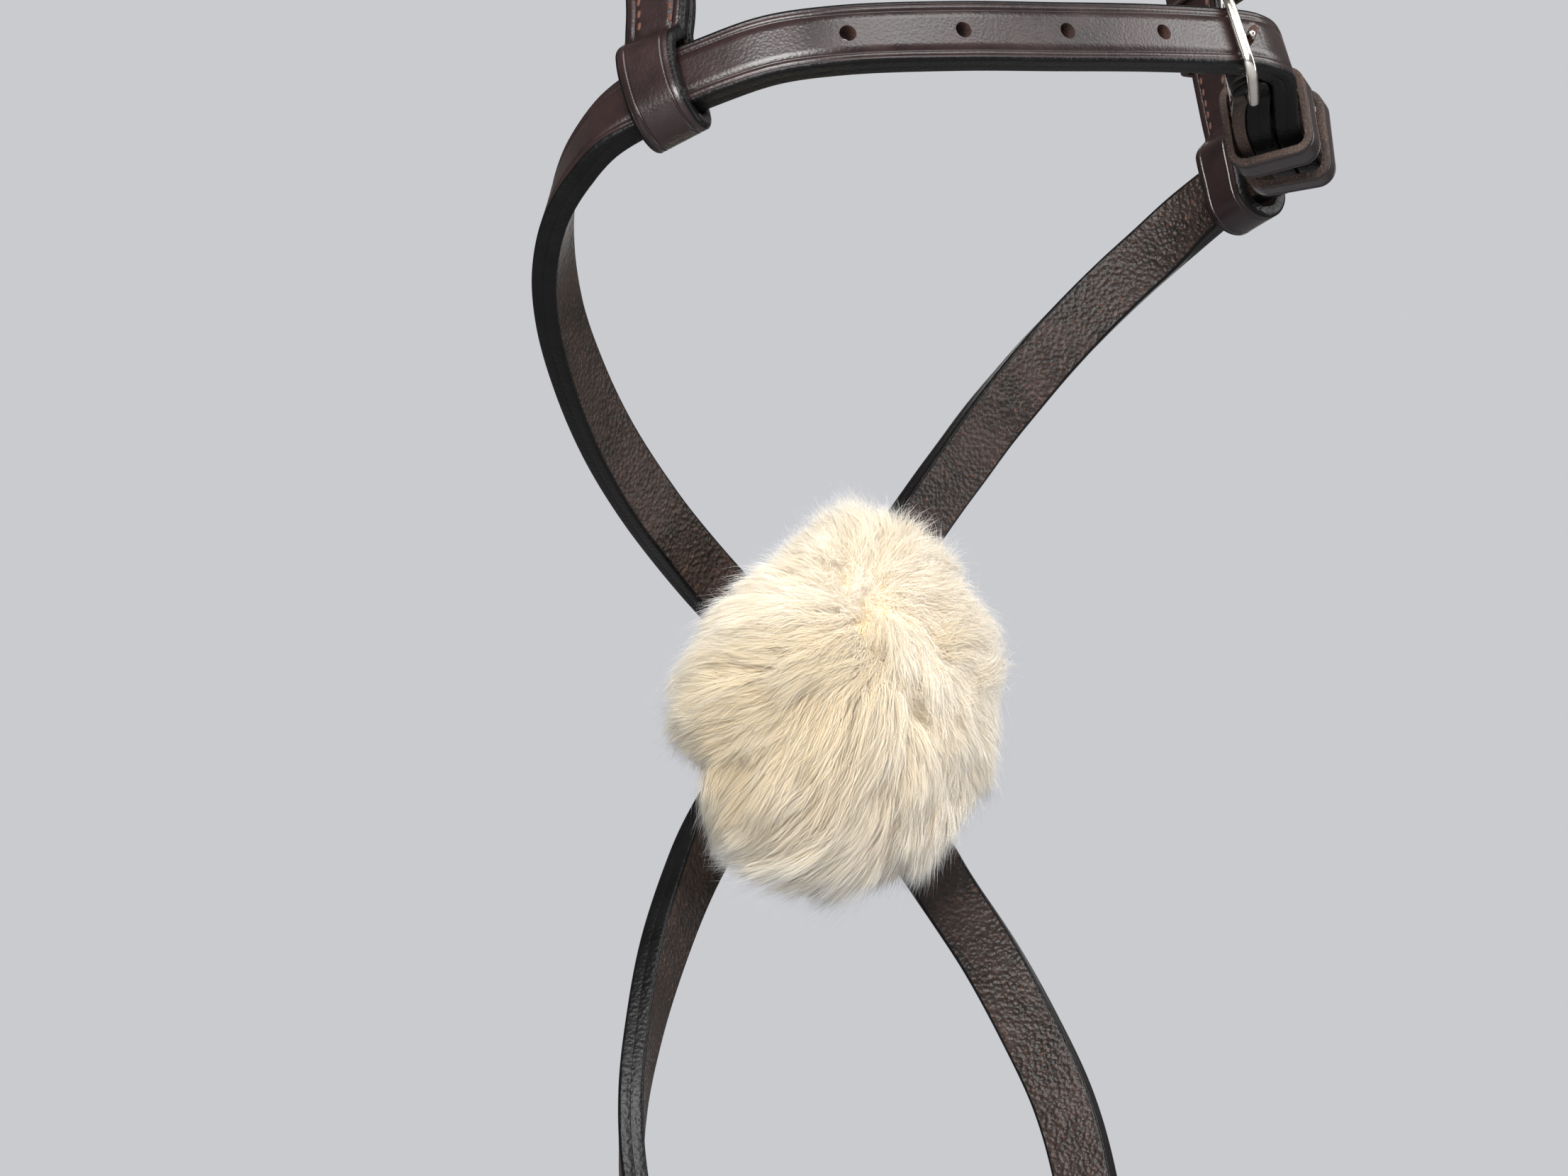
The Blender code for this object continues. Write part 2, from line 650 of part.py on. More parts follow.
def make_strap(name, route, pose, holes):
    """Both leathers of one strap, cut for the tongue's slot, the holes and the rivet."""
    heel = pose["heel"]
    marks = list(route.stations(0, route.length))
    outer_rings, turned_back = folded_rings(route, marks, heel)
    outer_rings += strap_rings(route, marks, outer_low, outer_high)
    lining_start = WIRE_RADIUS + FOLD_CLEARANCE + OUTER_LEATHER / 2
    lining_marks = [lining_start] + [mark for mark in marks if mark > lining_start * 1.3]
    lining_rings = strap_rings(route, lining_marks, lining_low, lining_high)
    outer_body = bridge(outer_rings, turned_back=turned_back)
    lining_body = bridge(lining_rings, turned_back=0)
    outer = finish(outer_body, name + "_outer", GRAIN, 0.42)
    lining = finish(lining_body, name + "_lining", FLESH, 0.62)
    start, along, outward, across = route.at(0)
    slot_centre = heel + along * (SLOT_DEPTH - FOLD_RADIUS - OUTER_LEATHER) / 2
    slot_half = (SLOT_DEPTH + FOLD_RADIUS + OUTER_LEATHER) / 2
    slot = box(slot_centre, (along, across, outward), (slot_half, SLOT_WIDTH / 2, 2 * FOLD_RADIUS))
    crossing = np.zeros(3)
    bore = cylinder(crossing, FORWARD, RIVET_DIAMETER / 2 + RIVET_CLEARANCE, 2 * STRAP_THICKNESS)
    cut = cutter(name + "_cut", holes + [bore])
    slot_cut = cutter(name + "_slot_cut", [slot])
    combine(outer, cut, "DIFFERENCE")
    combine(outer, slot_cut, "DIFFERENCE")
    combine(lining, cut, "DIFFERENCE")
    combine(lining, slot_cut, "DIFFERENCE")
    return outer, lining


upper_engaged = strap_two.nearest(upper_two[upper_row])
lower_engaged = strap_one.nearest(lower_one[lower_row])
make_strap(
    "strap_one", strap_one, upper_pose,
    hole_cutters(strap_one, lower_engaged, LOWER_HOLES, -1, lower_pose),
)
make_strap(
    "strap_two", strap_two, lower_pose,
    hole_cutters(strap_two, upper_engaged, UPPER_HOLES, -1, upper_pose),
)

# Buckles, tongues, keepers and runners of the two chin fastenings
chape_low = BOND_GAP / 2 + OUTER_LEATHER / 2 - 2 * FOLD_RADIUS - OUTER_LEATHER / 2
chin_low = chape_low - KEEPER_CLEARANCE
chin_high = STRAP_THICKNESS + LAY_GAP + HALF_STRAP + KEEPER_CLEARANCE
chin_half = STRAP_WIDTH / 2 + KEEPER_EDGE_ROOM
for side, route, pose in (("upper", strap_one, upper_pose), ("lower", strap_two, lower_pose)):
    buckle_frame(side + "_buckle_frame", pose["heel"], pose["ahead"], pose["across"])
    tongue(side + "_tongue", pose["heel"], pose["pin"], pose["across"], pose["pin_length"])
    keeper(side + "_fixed_keeper", route, KEEPER_FROM_HEEL, chin_low, chin_high, chin_half)
    keeper(side + "_runner", route, RUNNER_FROM_HEEL, chin_low, chin_high, chin_half, origin=True)


def hanger_outline():
    """The middle line of a hanger's leather, from the loop round the strap up to the fold round
    the heel bar: outward, then up the hanger."""
    half = HANGER_LEATHER / 2
    loop = HALF_STRAP + LOOP_SIDE_ROOM + half
    bottom = STRAP_WIDTH / 2 + LOOP_END_ROOM + half - loop
    shoulder = STRAP_WIDTH / 2
    seam = BOND_GAP / 2 + half
    fold = WIRE_RADIUS + FOLD_CLEARANCE + half
    upper_taper, lower_taper = HANGER_TAPER_SHARES
    side = [(fold, HANGER_RISE), ((fold + seam) / 2, HANGER_RISE - upper_taper * fold),
            (seam, HANGER_RISE - lower_taper * fold), (seam, (HANGER_RISE + HANGER_NECK) / 2),
            (seam, HANGER_NECK + HANGER_SEAM_LENGTH), (seam, HANGER_NECK + HANGER_SEAM_LENGTH / 3),
            (seam, HANGER_NECK)]
    for share in (0.25, 0.5, 0.75):
        ease = 0.5 - 0.5 * math.cos(math.pi * share)
        side.append((seam + (loop - seam) * ease, HANGER_NECK + (shoulder - HANGER_NECK) * share))
    side += [(loop, shoulder), (loop, 0)]
    bend = [
        (loop * math.cos(turn), -bottom - loop * math.sin(turn))
        for turn in np.linspace(0, math.pi, 9)
    ]
    top = [
        (-fold * math.cos(turn), HANGER_RISE + fold * math.sin(turn))
        for turn in np.linspace(0, math.pi, 9)[1:-1]
    ]
    return side + bend + [(-a, b) for a, b in reversed(side)] + top


def make_hanger(name, route, distance):
    """A cheek hanger: one leather looped round the noseband strap and folded round a heel bar.
    Its loop lies square to the strap, and its upright leans toward the poll."""
    centre, along, outward, across = route.at(distance)
    poll = np.array((0, POLL_FORWARD, POLL_HEIGHT))
    rise = square_to(poll - centre, outward)
    width = np.cross(rise, outward)
    lean = math.asin(np.dot(across * math.copysign(1, across[2]), width))
    shoulder = STRAP_WIDTH / 2
    outline = hanger_outline()
    flat_path, flat_normals = closed_path(outline, np.zeros(3), np.array((1, 0, 0)), UP)
    rings = []
    for (a, b), normal in zip(outline, flat_normals):
        ease = min(1, max(0, (b + shoulder) / (HANGER_NECK + HANGER_SEAM_LENGTH + shoulder)))
        ease = ease * ease * (3 - 2 * ease)
        turn = lean * (1 - ease)
        lift = rise * math.cos(turn) + width * math.sin(turn)
        side = width * math.cos(turn) - rise * math.sin(turn)
        half_width = (HANGER_LOOP_WIDTH + (HANGER_WIDTH - HANGER_LOOP_WIDTH) * ease) / 2
        section = band_section(half_width, -HANGER_LEATHER / 2, HANGER_LEATHER / 2)
        facing = outward * normal[0] + lift * normal[2]
        rings.append(ring_at(centre + outward * a + lift * b, facing, side, section))
    hanger = finish(bridge(rings, closed=True), name, GRAIN, 0.42, origin=centre)
    heel = centre + rise * HANGER_RISE
    reach = FOLD_RADIUS + HANGER_LEATHER
    slot = box(
        heel + rise * (reach - SLOT_DEPTH) / 2,
        (rise, width, outward),
        ((reach + SLOT_DEPTH) / 2, SLOT_WIDTH / 2, 2 * FOLD_RADIUS),
    )
    combine(hanger, cutter(name + "_slot_cut", [slot]), "DIFFERENCE")
    buckle_frame(name + "_buckle", heel, rise, width)
    rest = WIRE_RADIUS + BAR_GAP + TONGUE_DIAMETER / 2
    rest_angle = math.asin(rest / BUCKLE_LENGTH)
    pin = rise * math.cos(rest_angle) + outward * math.sin(rest_angle)
    tongue(name + "_tongue", heel, pin, width, BUCKLE_LENGTH + TONGUE_PROUD)
    low = -BOND_GAP / 2 - HANGER_LEATHER - BAR_GAP
    high = -low + BILLET_ROOM
    half = HANGER_WIDTH / 2 + BAR_GAP
    for part, drop in (("keeper", HANGER_KEEPER_DROP), ("runner", HANGER_RUNNER_DROP)):
        place = centre + rise * (HANGER_RISE - drop)
        wall = KEEPER_WALL / 2
        outline = rounded_rectangle(
            low - wall, high + wall, -half - wall, half + wall,
            HANGER_KEEPER_CORNER, HANGER_KEEPER_CORNER,
        )
        path, normals = closed_path(outline, place, outward, width)
        body = ring_band(path, normals, rise, KEEPER_WIDTH / 2, KEEPER_WALL)
        finish(body, name + "_" + part, GRAIN, 0.42, origin=place)


left_cheek = upper_two[UPPER_TWO_SHARES.index(CHEEK_TWO_SHARES)]
right_cheek = upper_one[UPPER_ONE_SHARES.index(CHEEK_ONE_SHARES)]
make_hanger("left_hanger", strap_two, strap_two.nearest(left_cheek))
make_hanger("right_hanger", strap_one, strap_one.nearest(right_cheek))

# The crossing: rosette outside, then the straps, the pad backing and the sheepskin inside
bore_radius = RIVET_DIAMETER / 2 + RIVET_CLEARANCE
stack_half = CROSSING_OFFSET + HALF_STRAP
rosette_low = stack_half + BOND_GAP
backing_low = stack_half + BOND_GAP
bevel = EDGE_BEVEL
crossing = np.zeros(3)
rosette_profile = (
    (bore_radius, rosette_low),
    (ROSETTE_DIAMETER / 2 - bevel, rosette_low),
    (ROSETTE_DIAMETER / 2, rosette_low + bevel),
    (ROSETTE_DIAMETER / 2, rosette_low + ROSETTE_THICKNESS - bevel),
    (ROSETTE_DIAMETER / 2 - bevel, rosette_low + ROSETTE_THICKNESS),
    (bore_radius, rosette_low + ROSETTE_THICKNESS),
)
finish(turned(rosette_profile, crossing, FORWARD), "nose_rosette", GRAIN, 0.42)
backing_profile = (
    (bore_radius, backing_low),
    (BACKING_WIDTH / 2, backing_low),
    (BACKING_WIDTH / 2, backing_low + BACKING_THICKNESS),
    (bore_radius, backing_low + BACKING_THICKNESS),
)
backing = turned(backing_profile, crossing, -FORWARD, stretch=BACKING_HEIGHT / BACKING_WIDTH)
finish(backing, "pad_backing", FLESH, 0.7)
head_outside = rosette_low + ROSETTE_THICKNESS + BOND_GAP
head_inside = -(backing_low + BACKING_THICKNESS + BOND_GAP)
rivet_profile = (
    (RIVET_HEAD_DIAMETER / 2 * 0.6, head_inside - RIVET_HEAD_HEIGHT),
    (RIVET_HEAD_DIAMETER / 2, head_inside - RIVET_HEAD_HEIGHT * 0.4),
    (RIVET_HEAD_DIAMETER / 2, head_inside),
    (RIVET_DIAMETER / 2, head_inside),
    (RIVET_DIAMETER / 2, head_outside),
    (RIVET_HEAD_DIAMETER / 2, head_outside),
    (RIVET_HEAD_DIAMETER / 2, head_outside + RIVET_HEAD_HEIGHT * 0.4),
    (RIVET_HEAD_DIAMETER / 2 * 0.6, head_outside + RIVET_HEAD_HEIGHT),
)
rivet = turned(rivet_profile, crossing, FORWARD, bored=False)
finish(rivet, "crossing_rivet", NICKEL, 0.25, 1)


def make_sheepskin():
    """A crowned oval pad: a flat seat on the backing, full drawn-in sides and a domed face."""
    seat = backing_low + BACKING_THICKNESS + PAD_SEAT_GAP
    crown_shares = ((0.62, 0), (0.86, 0.06), (0.97, 0.18), (1, 0.34), (0.96, 0.52), (0.86, 0.70),
                    (0.68, 0.85), (0.44, 0.95), (0.18, 0.995))
    turns = np.linspace(0, 2 * math.pi, 32, endpoint=False)
    rings = []
    for share, height in crown_shares:
        ring = []
        for turn in turns:
            lobe = 1 + 0.05 * math.cos(2 * turn - 1.9) + 0.035 * math.cos(turn + 0.8)
            ring.append(np.array((
                math.cos(turn) * PAD_WIDTH / 2 * share * lobe - PAD_OFFSET,
                -seat - PAD_DEPTH * height,
                math.sin(turn) * PAD_HEIGHT / 2 * share * lobe - PAD_DROP,
            )))
        rings.append(ring)
    pad = finish(bridge(rings), "sheepskin_pad", WOOL, 0.9)
    pocket_depth = BOND_GAP + RIVET_HEAD_HEIGHT + CUT_OVERRUN
    pocket = cylinder(
        -FORWARD * seat, FORWARD, RIVET_HEAD_DIAMETER / 2 + CUT_OVERRUN, pocket_depth, sides=16
    )
    combine(pad, cutter("sheepskin_pocket_cut", [pocket]), "DIFFERENCE")


make_sheepskin()
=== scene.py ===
import math

import bpy
import numpy as np
from mathutils import Matrix, Vector
from mathutils.kdtree import KDTree


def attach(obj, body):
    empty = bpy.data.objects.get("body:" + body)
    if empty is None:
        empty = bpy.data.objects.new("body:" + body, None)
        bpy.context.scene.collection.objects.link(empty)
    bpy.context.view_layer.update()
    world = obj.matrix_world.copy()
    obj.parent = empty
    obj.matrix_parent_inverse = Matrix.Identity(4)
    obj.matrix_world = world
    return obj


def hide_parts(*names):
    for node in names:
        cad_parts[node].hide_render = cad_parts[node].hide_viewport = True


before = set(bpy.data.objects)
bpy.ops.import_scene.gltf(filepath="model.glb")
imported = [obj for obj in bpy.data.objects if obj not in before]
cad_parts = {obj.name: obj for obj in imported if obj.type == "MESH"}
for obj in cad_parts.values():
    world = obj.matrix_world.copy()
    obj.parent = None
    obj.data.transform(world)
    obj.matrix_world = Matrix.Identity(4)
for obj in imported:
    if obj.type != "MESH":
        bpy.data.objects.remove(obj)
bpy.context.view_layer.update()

# The viewpoint: a 100 mm lens a metre from the noseband, behind the horse's jaw and a little
# below it, looking forward and up at the crossing.
LENS_MM = 100
SENSOR_MM = 36
PICTURE_WIDTH_PX = 2212
PICTURE_HEIGHT_PX = 1659
CROSSING_PX = (1133, 986)
LENS_DISTANCE = 1.0
VIEW_AZIMUTH = math.radians(-35)
VIEW_ELEVATION = math.radians(-8)

pixels_per_radian = LENS_MM / SENSOR_MM * PICTURE_WIDTH_PX
ahead = Vector((
    -math.sin(VIEW_AZIMUTH) * math.cos(VIEW_ELEVATION),
    math.cos(VIEW_AZIMUTH) * math.cos(VIEW_ELEVATION),
    -math.sin(VIEW_ELEVATION),
))
right = ahead.cross(Vector((0, 0, 1))).normalized()
up = right.cross(ahead)
to_right = (CROSSING_PX[0] - PICTURE_WIDTH_PX / 2) / pixels_per_radian
to_up = (PICTURE_HEIGHT_PX / 2 - CROSSING_PX[1]) / pixels_per_radian
lens_place = -(ahead + right * to_right + up * to_up) * LENS_DISTANCE


def placed(name, data):
    """A new object in the scene."""
    made = bpy.data.objects.new(name, data)
    bpy.context.scene.collection.objects.link(made)
    return made


camera = placed("camera", bpy.data.cameras.new("camera"))
camera.data.lens = LENS_MM
camera.data.sensor_width = SENSOR_MM
camera.data.clip_start = 0.01
camera.matrix_world = Matrix.Translation(lens_place) @ Matrix((right, up, -ahead)).transposed().to_4x4()
bpy.context.scene.camera = camera
bpy.context.scene.view_settings.view_transform = "Standard"


# The studio: a pale grey paper sweep that the camera sees as one flat tone, and large soft
# lamps. The camera is shown that tone by the paper and the world, so no lamp is turned up for it.
def colour(hex_code):
    """An sRGB hex colour as linear red, green, blue and alpha."""
    parts = [int(hex_code[i:i + 2], 16) / 255 for i in (1, 3, 5)]
    return (*[p / 12.92 if p <= 0.04045 else ((p + 0.055) / 1.055) ** 2.4 for p in parts], 1)


def node(tree, kind, links=None, **settings):
    """Adds one shader node: its settings by name, then what each input takes, which is a value,
    a socket, or another node for its first output."""
    made = tree.nodes.new("ShaderNode" + kind)
    for name, value in settings.items():
        setattr(made, name, value)
    for socket, source in (links or {}).items():
        if isinstance(source, bpy.types.Node):
            source = source.outputs[0]
        if isinstance(source, bpy.types.NodeSocket):
            tree.links.new(source, made.inputs[socket])
        else:
            made.inputs[socket].default_value = source
    return made


def new_material(name):
    """A new material and its emptied node tree."""
    made = bpy.data.materials.new(name)
    made.use_nodes = True
    made.node_tree.nodes.clear()
    return made, made.node_tree


PAPER = colour("#CACBCF")
PAPER_WIDTH = 8
OWN_TONE_SHARE = 0.92
FILL_STRENGTH = 0.20
FLOOR_HEIGHT = -0.30

world = bpy.data.worlds.new("studio")
bpy.context.scene.world = world
world.use_nodes = True
tree = world.node_tree
tree.nodes.clear()
rays = node(tree, "LightPath").outputs
seen = node(tree, "Math", {0: rays["Is Camera Ray"], 1: rays["Is Transmission Ray"]}, operation="MAXIMUM")
fill = node(tree, "Background", {"Color": colour("#F2EDE6"), "Strength": FILL_STRENGTH})
shown = node(tree, "Background", {"Color": PAPER, "Strength": 1.0})
mixed = node(tree, "MixShader", {0: seen, 1: fill, 2: shown})
node(tree, "OutputWorld", {"Surface": mixed})

paper, tree = new_material("background_paper")
rays = node(tree, "LightPath").outputs
lit = node(tree, "BsdfDiffuse", {"Color": colour("#9A9B9E")})
flat = node(tree, "Emission", {"Color": PAPER, "Strength": 1.0})
share = node(tree, "Math", {0: rays["Is Camera Ray"], 1: OWN_TONE_SHARE}, operation="MULTIPLY")
mixed = node(tree, "MixShader", {0: share, 1: lit, 2: flat})
node(tree, "OutputMaterial", {"Surface": mixed})

bpy.ops.mesh.primitive_plane_add(size=PAPER_WIDTH, location=(0, 0, FLOOR_HEIGHT))
floor = bpy.context.object
floor.name = "floor"
floor.data.materials.append(paper)


def softbox(name, toward, distance, width, height, power):
    """A rectangular lamp that faces the crossing from the given direction."""
    lamp = bpy.data.lights.new(name, "AREA")
    lamp.shape = "RECTANGLE"
    lamp.size, lamp.size_y = width, height
    lamp.energy = power
    holder = placed(name, lamp)
    toward = Vector(toward).normalized()
    holder.location = toward * distance
    holder.rotation_mode = "QUATERNION"
    holder.rotation_quaternion = toward.to_track_quat("Z", "Y")


softbox("top_softbox", (0.05, -0.62, 0.77), 1.5, 0.8, 0.7, 17)
softbox("upper_right_softbox", (0.66, -0.54, 0.54), 1.5, 0.5, 0.6, 10)
softbox("right_softbox", (0.82, -0.56, 0.14), 1.5, 0.5, 0.9, 9)
softbox("left_softbox", (-0.66, -0.62, 0.34), 1.5, 0.8, 0.8, 57)
softbox("low_softbox", (-0.25, -0.78, -0.58), 1.6, 0.8, 0.6, 34)
softbox("back_softbox", (0.60, 0.75, 0.25), 1.8, 0.9, 0.9, 4)


# Where the straps lie: each is one long strap, bent once by the head and by its own weight. A
# station's first three numbers are its place, as shares of the head's half width, depth and rise,
# and the last three are the way that the flesh side looks there.
HEAD_HALF_WIDTH = 0.100
HEAD_DEPTH = 0.116
CHEEK_RISE = 0.124
CHIN_DROP = 0.200
STRAP_WIDTH = 0.014
LEATHER = 0.0026
GLUE_LINE = 0.0003
STRAP_THICKNESS = 2 * LEATHER + GLUE_LINE
UP = np.array((0, 0, 1.0))
FORWARD = np.array((0, 1.0, 0))

TONGUE_TWO_SHARES = (0.347, -1, 1.085, -0.05, 0.95, -0.32)
TONGUE_ONE_SHARES = (0.1, -0.4, -1, 0.02, 0, 1)
CHEEK_TWO_SHARES = (-0.925, -0.699, 0.905, 0.98, 0.1, -0.06)
CHEEK_ONE_SHARES = (0.937, -0.41, 1.012, -1, 0, -0.06)
UPPER_TWO_SHARES = (
    (0.397, -0.996, 1.086, -0.2, 0.93, -0.32),
    TONGUE_TWO_SHARES,
    (0.087, -1.01, 1.059, 0, 0.95, -0.26),
    (-0.17, -1, 1.031, 0.05, 0.95, -0.24),
    (-0.42, -0.975, 1.006, 0.16, 0.94, -0.24),
    (-0.66, -0.92, 0.98, 0.35, 0.88, -0.26),
    (-0.78, -0.855, 0.962, 0.6, 0.75, -0.24),
    (-0.86, -0.78, 0.935, 0.9, 0.4, -0.16),
    CHEEK_TWO_SHARES,
    (-0.987, -0.615, 0.859, 0.965, -0.25, 0),
    (-1.015, -0.548, 0.803, 0.89, -0.45, 0),
    (-1.015, -0.48, 0.74, 0.74, -0.67, 0),
    (-0.98, -0.41, 0.67, 0.57, -0.82, 0),
    (-0.91, -0.335, 0.59, 0.44, -0.9, 0),
    (-0.79, -0.24, 0.503, 0.31, -0.95, 0),
    (-0.64, -0.145, 0.41, 0.17, -0.98, 0),
    (-0.47, -0.065, 0.316, 0.03, -1, 0),
    (-0.29, 0, 0.225, 0, -1, 0),
)
LOWER_TWO_SHARES = (
    (0.34, 0, -0.17, -0.42, -0.9, 0),
    (0.4, 0, -0.207, -0.6, -0.8, 0),
    (0.51, -0.03, -0.288, -0.7, -0.7, 0),
    (0.585, -0.073, -0.37, -0.79, -0.62, 0),
    (0.63, -0.13, -0.453, -0.82, -0.57, 0.05),
    (0.645, -0.178, -0.535, -0.87, -0.5, 0.1),
    (0.645, -0.224, -0.645, -0.9, -0.3, 0.25),
    (0.6, -0.276, -0.75, -0.8, -0.15, 0.5),
    (0.5, -0.328, -0.835, -0.65, -0.05, 0.75),
    (0.36, -0.37, -0.905, -0.5, 0, 0.85),
)
UPPER_ONE_SHARES = (
    (0.56, -0.835, 1.01, -0.5, 0.85, -0.22),
    (0.69, -0.76, 0.995, -0.57, 0.8, -0.12),
    (0.82, -0.665, 0.995, -0.77, 0.62, -0.06),
    (0.91, -0.545, 1.015, -0.95, 0.3, -0.05),
    CHEEK_ONE_SHARES,
    (0.915, -0.293, 0.965, -0.87, -0.5, 0),
    (0.874, -0.205, 0.906, -0.57, -0.82, 0),
    (0.817, -0.137, 0.842, -0.54, -0.84, 0),
    (0.746, -0.092, 0.772, -0.5, -0.87, 0),
    (0.668, -0.064, 0.7, -0.39, -0.92, 0),
    (0.595, -0.04, 0.627, -0.29, -0.96, 0),
    (0.522, -0.022, 0.554, -0.16, -0.99, 0),
    (0.454, -0.008, 0.48, -0.09, -1, 0),
    (0.383, 0, 0.407, 0, -1, 0),
)
LOWER_ONE_SHARES = (
    (-0.258, 0, -0.164, 0.26, -0.97, 0),
    (-0.335, -0.019, -0.222, 0.42, -0.91, 0),
    (-0.429, -0.055, -0.304, 0.55, -0.83, 0),
    (-0.497, -0.086, -0.383, 0.7, -0.71, 0),
    (-0.548, -0.117, -0.46, 0.79, -0.61, 0),
    (-0.57, -0.145, -0.536, 0.87, -0.5, 0.08),
    (-0.575, -0.21, -0.65, 0.9, -0.32, 0.22),
    (-0.53, -0.275, -0.76, 0.8, -0.15, 0.5),
    (-0.4, -0.33, -0.87, 0.6, -0.05, 0.8),
    (-0.22, -0.37, -0.95, 0.35, 0, 0.93),
    (-0.03, -0.397, -0.993, 0.1, 0, 0.99),
    TONGUE_ONE_SHARES,
    (0.15, -0.4, -1, -0.06, 0, 1),
)
TAIL_SHARES = (0.02, 0.18, 0.36, 0.56, 0.78, 1)
TAIL_REACH = 0.060
LAY_GAP = 0.0005
CROSSING_STRAIGHT = 0.0120
CHAPE_STRAIGHT = 0.0070
WIRE_RADIUS = 0.0012
FOLD_CLEARANCE = 0.0004
FOLD_RADIUS = WIRE_RADIUS + FOLD_CLEARANCE + LEATHER / 2
BUCKLE_LENGTH = 0.0180
BUCKLE_SLACK = 0.0012
BAR_GAP = 0.0003
TONGUE_STANDOFF = 0.0050
TONGUE_PROUD = 0.0022
CROSSING_OFFSET = (STRAP_THICKNESS + GLUE_LINE) / 2
POINTS_A_STATION = 24


def unit(vectors):
    """A vector, or each of an array of them, brought to length one."""
    return vectors / np.linalg.norm(vectors, axis=-1, keepdims=True)


def square_to(direction, axis):
    """The part of a direction at right angles to an axis, as a unit vector."""
    return unit(direction - np.dot(direction, axis) * axis)


class Route:
    """A smooth line through stations, with the side that the grain looks to."""

    def __init__(self, rows):
        data = np.array(rows, float)
        chords = np.linalg.norm(np.diff(data[:, :3], axis=0), axis=1)
        knots = np.concatenate(([0], np.cumsum(chords ** 0.5)))
        knots = np.concatenate(([-knots[1]], knots, [2 * knots[-1] - knots[-2]]))
        data = np.vstack((2 * data[0] - data[1], data, 2 * data[-1] - data[-2]))
        fine = [self.blend(data, knots, i, knots[i] + part * (knots[i + 1] - knots[i]))
                for i in range(1, len(data) - 2)
                for part in np.linspace(0, 1, POINTS_A_STATION, endpoint=False)]
        fine = np.array(fine + [data[-2]])
        self.points = fine[:, :3]
        self.tangents = unit(np.gradient(self.points, axis=0))
        outward = -fine[:, 3:]
        self.outward = unit(outward - (outward * self.tangents).sum(1)[:, None] * self.tangents)
        steps = np.linalg.norm(np.diff(self.points, axis=0), axis=1)
        self.distances = np.concatenate(([0], np.cumsum(steps)))
        self.length = self.distances[-1]

    @staticmethod
    def blend(data, knots, i, t):
        """One point of the centripetal curve between stations i and i + 1."""

        def mix(a, b, low, high):
            return ((knots[high] - t) * a + (t - knots[low]) * b) / (knots[high] - knots[low])

        first = mix(data[i - 1], data[i], i - 1, i)
        middle = mix(data[i], data[i + 1], i, i + 1)
        last = mix(data[i + 1], data[i + 2], i + 1, i + 2)
        return mix(mix(first, middle, i - 1, i + 1), mix(middle, last, i, i + 2), i, i + 1)

    def at(self, distance):
        """Centre, direction, outward side and width direction at a distance along the route."""
        lanes = [np.array([np.interp(distance, self.distances, lane[:, k]) for k in range(3)])
                 for lane in (self.points, self.tangents, self.outward)]
        along = unit(lanes[1])
        outward = square_to(lanes[2], along)
        return lanes[0], along, outward, np.cross(outward, along)

    def nearest(self, station):
        """Distance along the route to the point nearest to a station."""
        return self.distances[np.argmin(np.linalg.norm(self.points - station[:3], axis=1))]


def stations(rows, rise):
    """A table's rows at real size."""
    return [np.array(row) * (HEAD_HALF_WIDTH, HEAD_DEPTH, rise, 1, 1, 1) for row in rows]


def buckle_pose(route, station, toward_tip):
    """Where a buckle stands on a billet at the hole that its tongue is in."""
    centre, along, outward, across = route.at(route.nearest(station))
    along = along * toward_tip
    across = np.cross(outward, along)
    bar_height = STRAP_THICKNESS / 2 + BAR_GAP + WIRE_RADIUS
    heel_depth = STRAP_THICKNESS / 2 + FOLD_CLEARANCE + FOLD_RADIUS + LEATHER / 2 + BUCKLE_SLACK
    slope = math.asin((bar_height + heel_depth) / BUCKLE_LENGTH)
    bar = centre + outward * bar_height - along * TONGUE_STANDOFF
    heel = bar + (along * math.cos(slope) - outward * math.sin(slope)) * BUCKLE_LENGTH
    pin = centre + outward * STRAP_THICKNESS / 2 - heel
    return {"heel": heel, "ahead": unit(bar - heel), "across": across, "outward": outward,
            "pin": unit(pin), "pin_length": np.linalg.norm(pin) + TONGUE_PROUD}


def chape_start(pose, next_place):
    """The first two stations of a buckle end's strap, square to the heel bar."""
    along = square_to(next_place - pose["heel"], pose["across"])
    outward = np.cross(along, pose["across"])
    outward = outward * math.copysign(1, np.dot(outward, pose["outward"]))
    start = pose["heel"] + outward * (FOLD_RADIUS - GLUE_LINE / 2 - LEATHER / 2)
    return [np.hstack((place, -outward)) for place in (start, start + along * CHAPE_STRAIGHT)]


def crossing_stations(before, after, forward):
    """Three stations straight through the crossing, between the ones before and after it."""
    along = square_to(after[:3] - before[:3], FORWARD)
    return [np.hstack((FORWARD * forward + along * CROSSING_STRAIGHT * side, -FORWARD))
            for side in (-1, 0, 1)]


def tail_stations(carrier):
    """Stations of a billet's free end, laid on the outer side of the strap that carries it."""
    rows = []
    for reach in TAIL_SHARES:
        centre, along, outward, across = carrier.at(reach * TAIL_REACH)
        rows.append(np.hstack((centre + outward * (STRAP_THICKNESS + LAY_GAP), -outward)))
    return rows


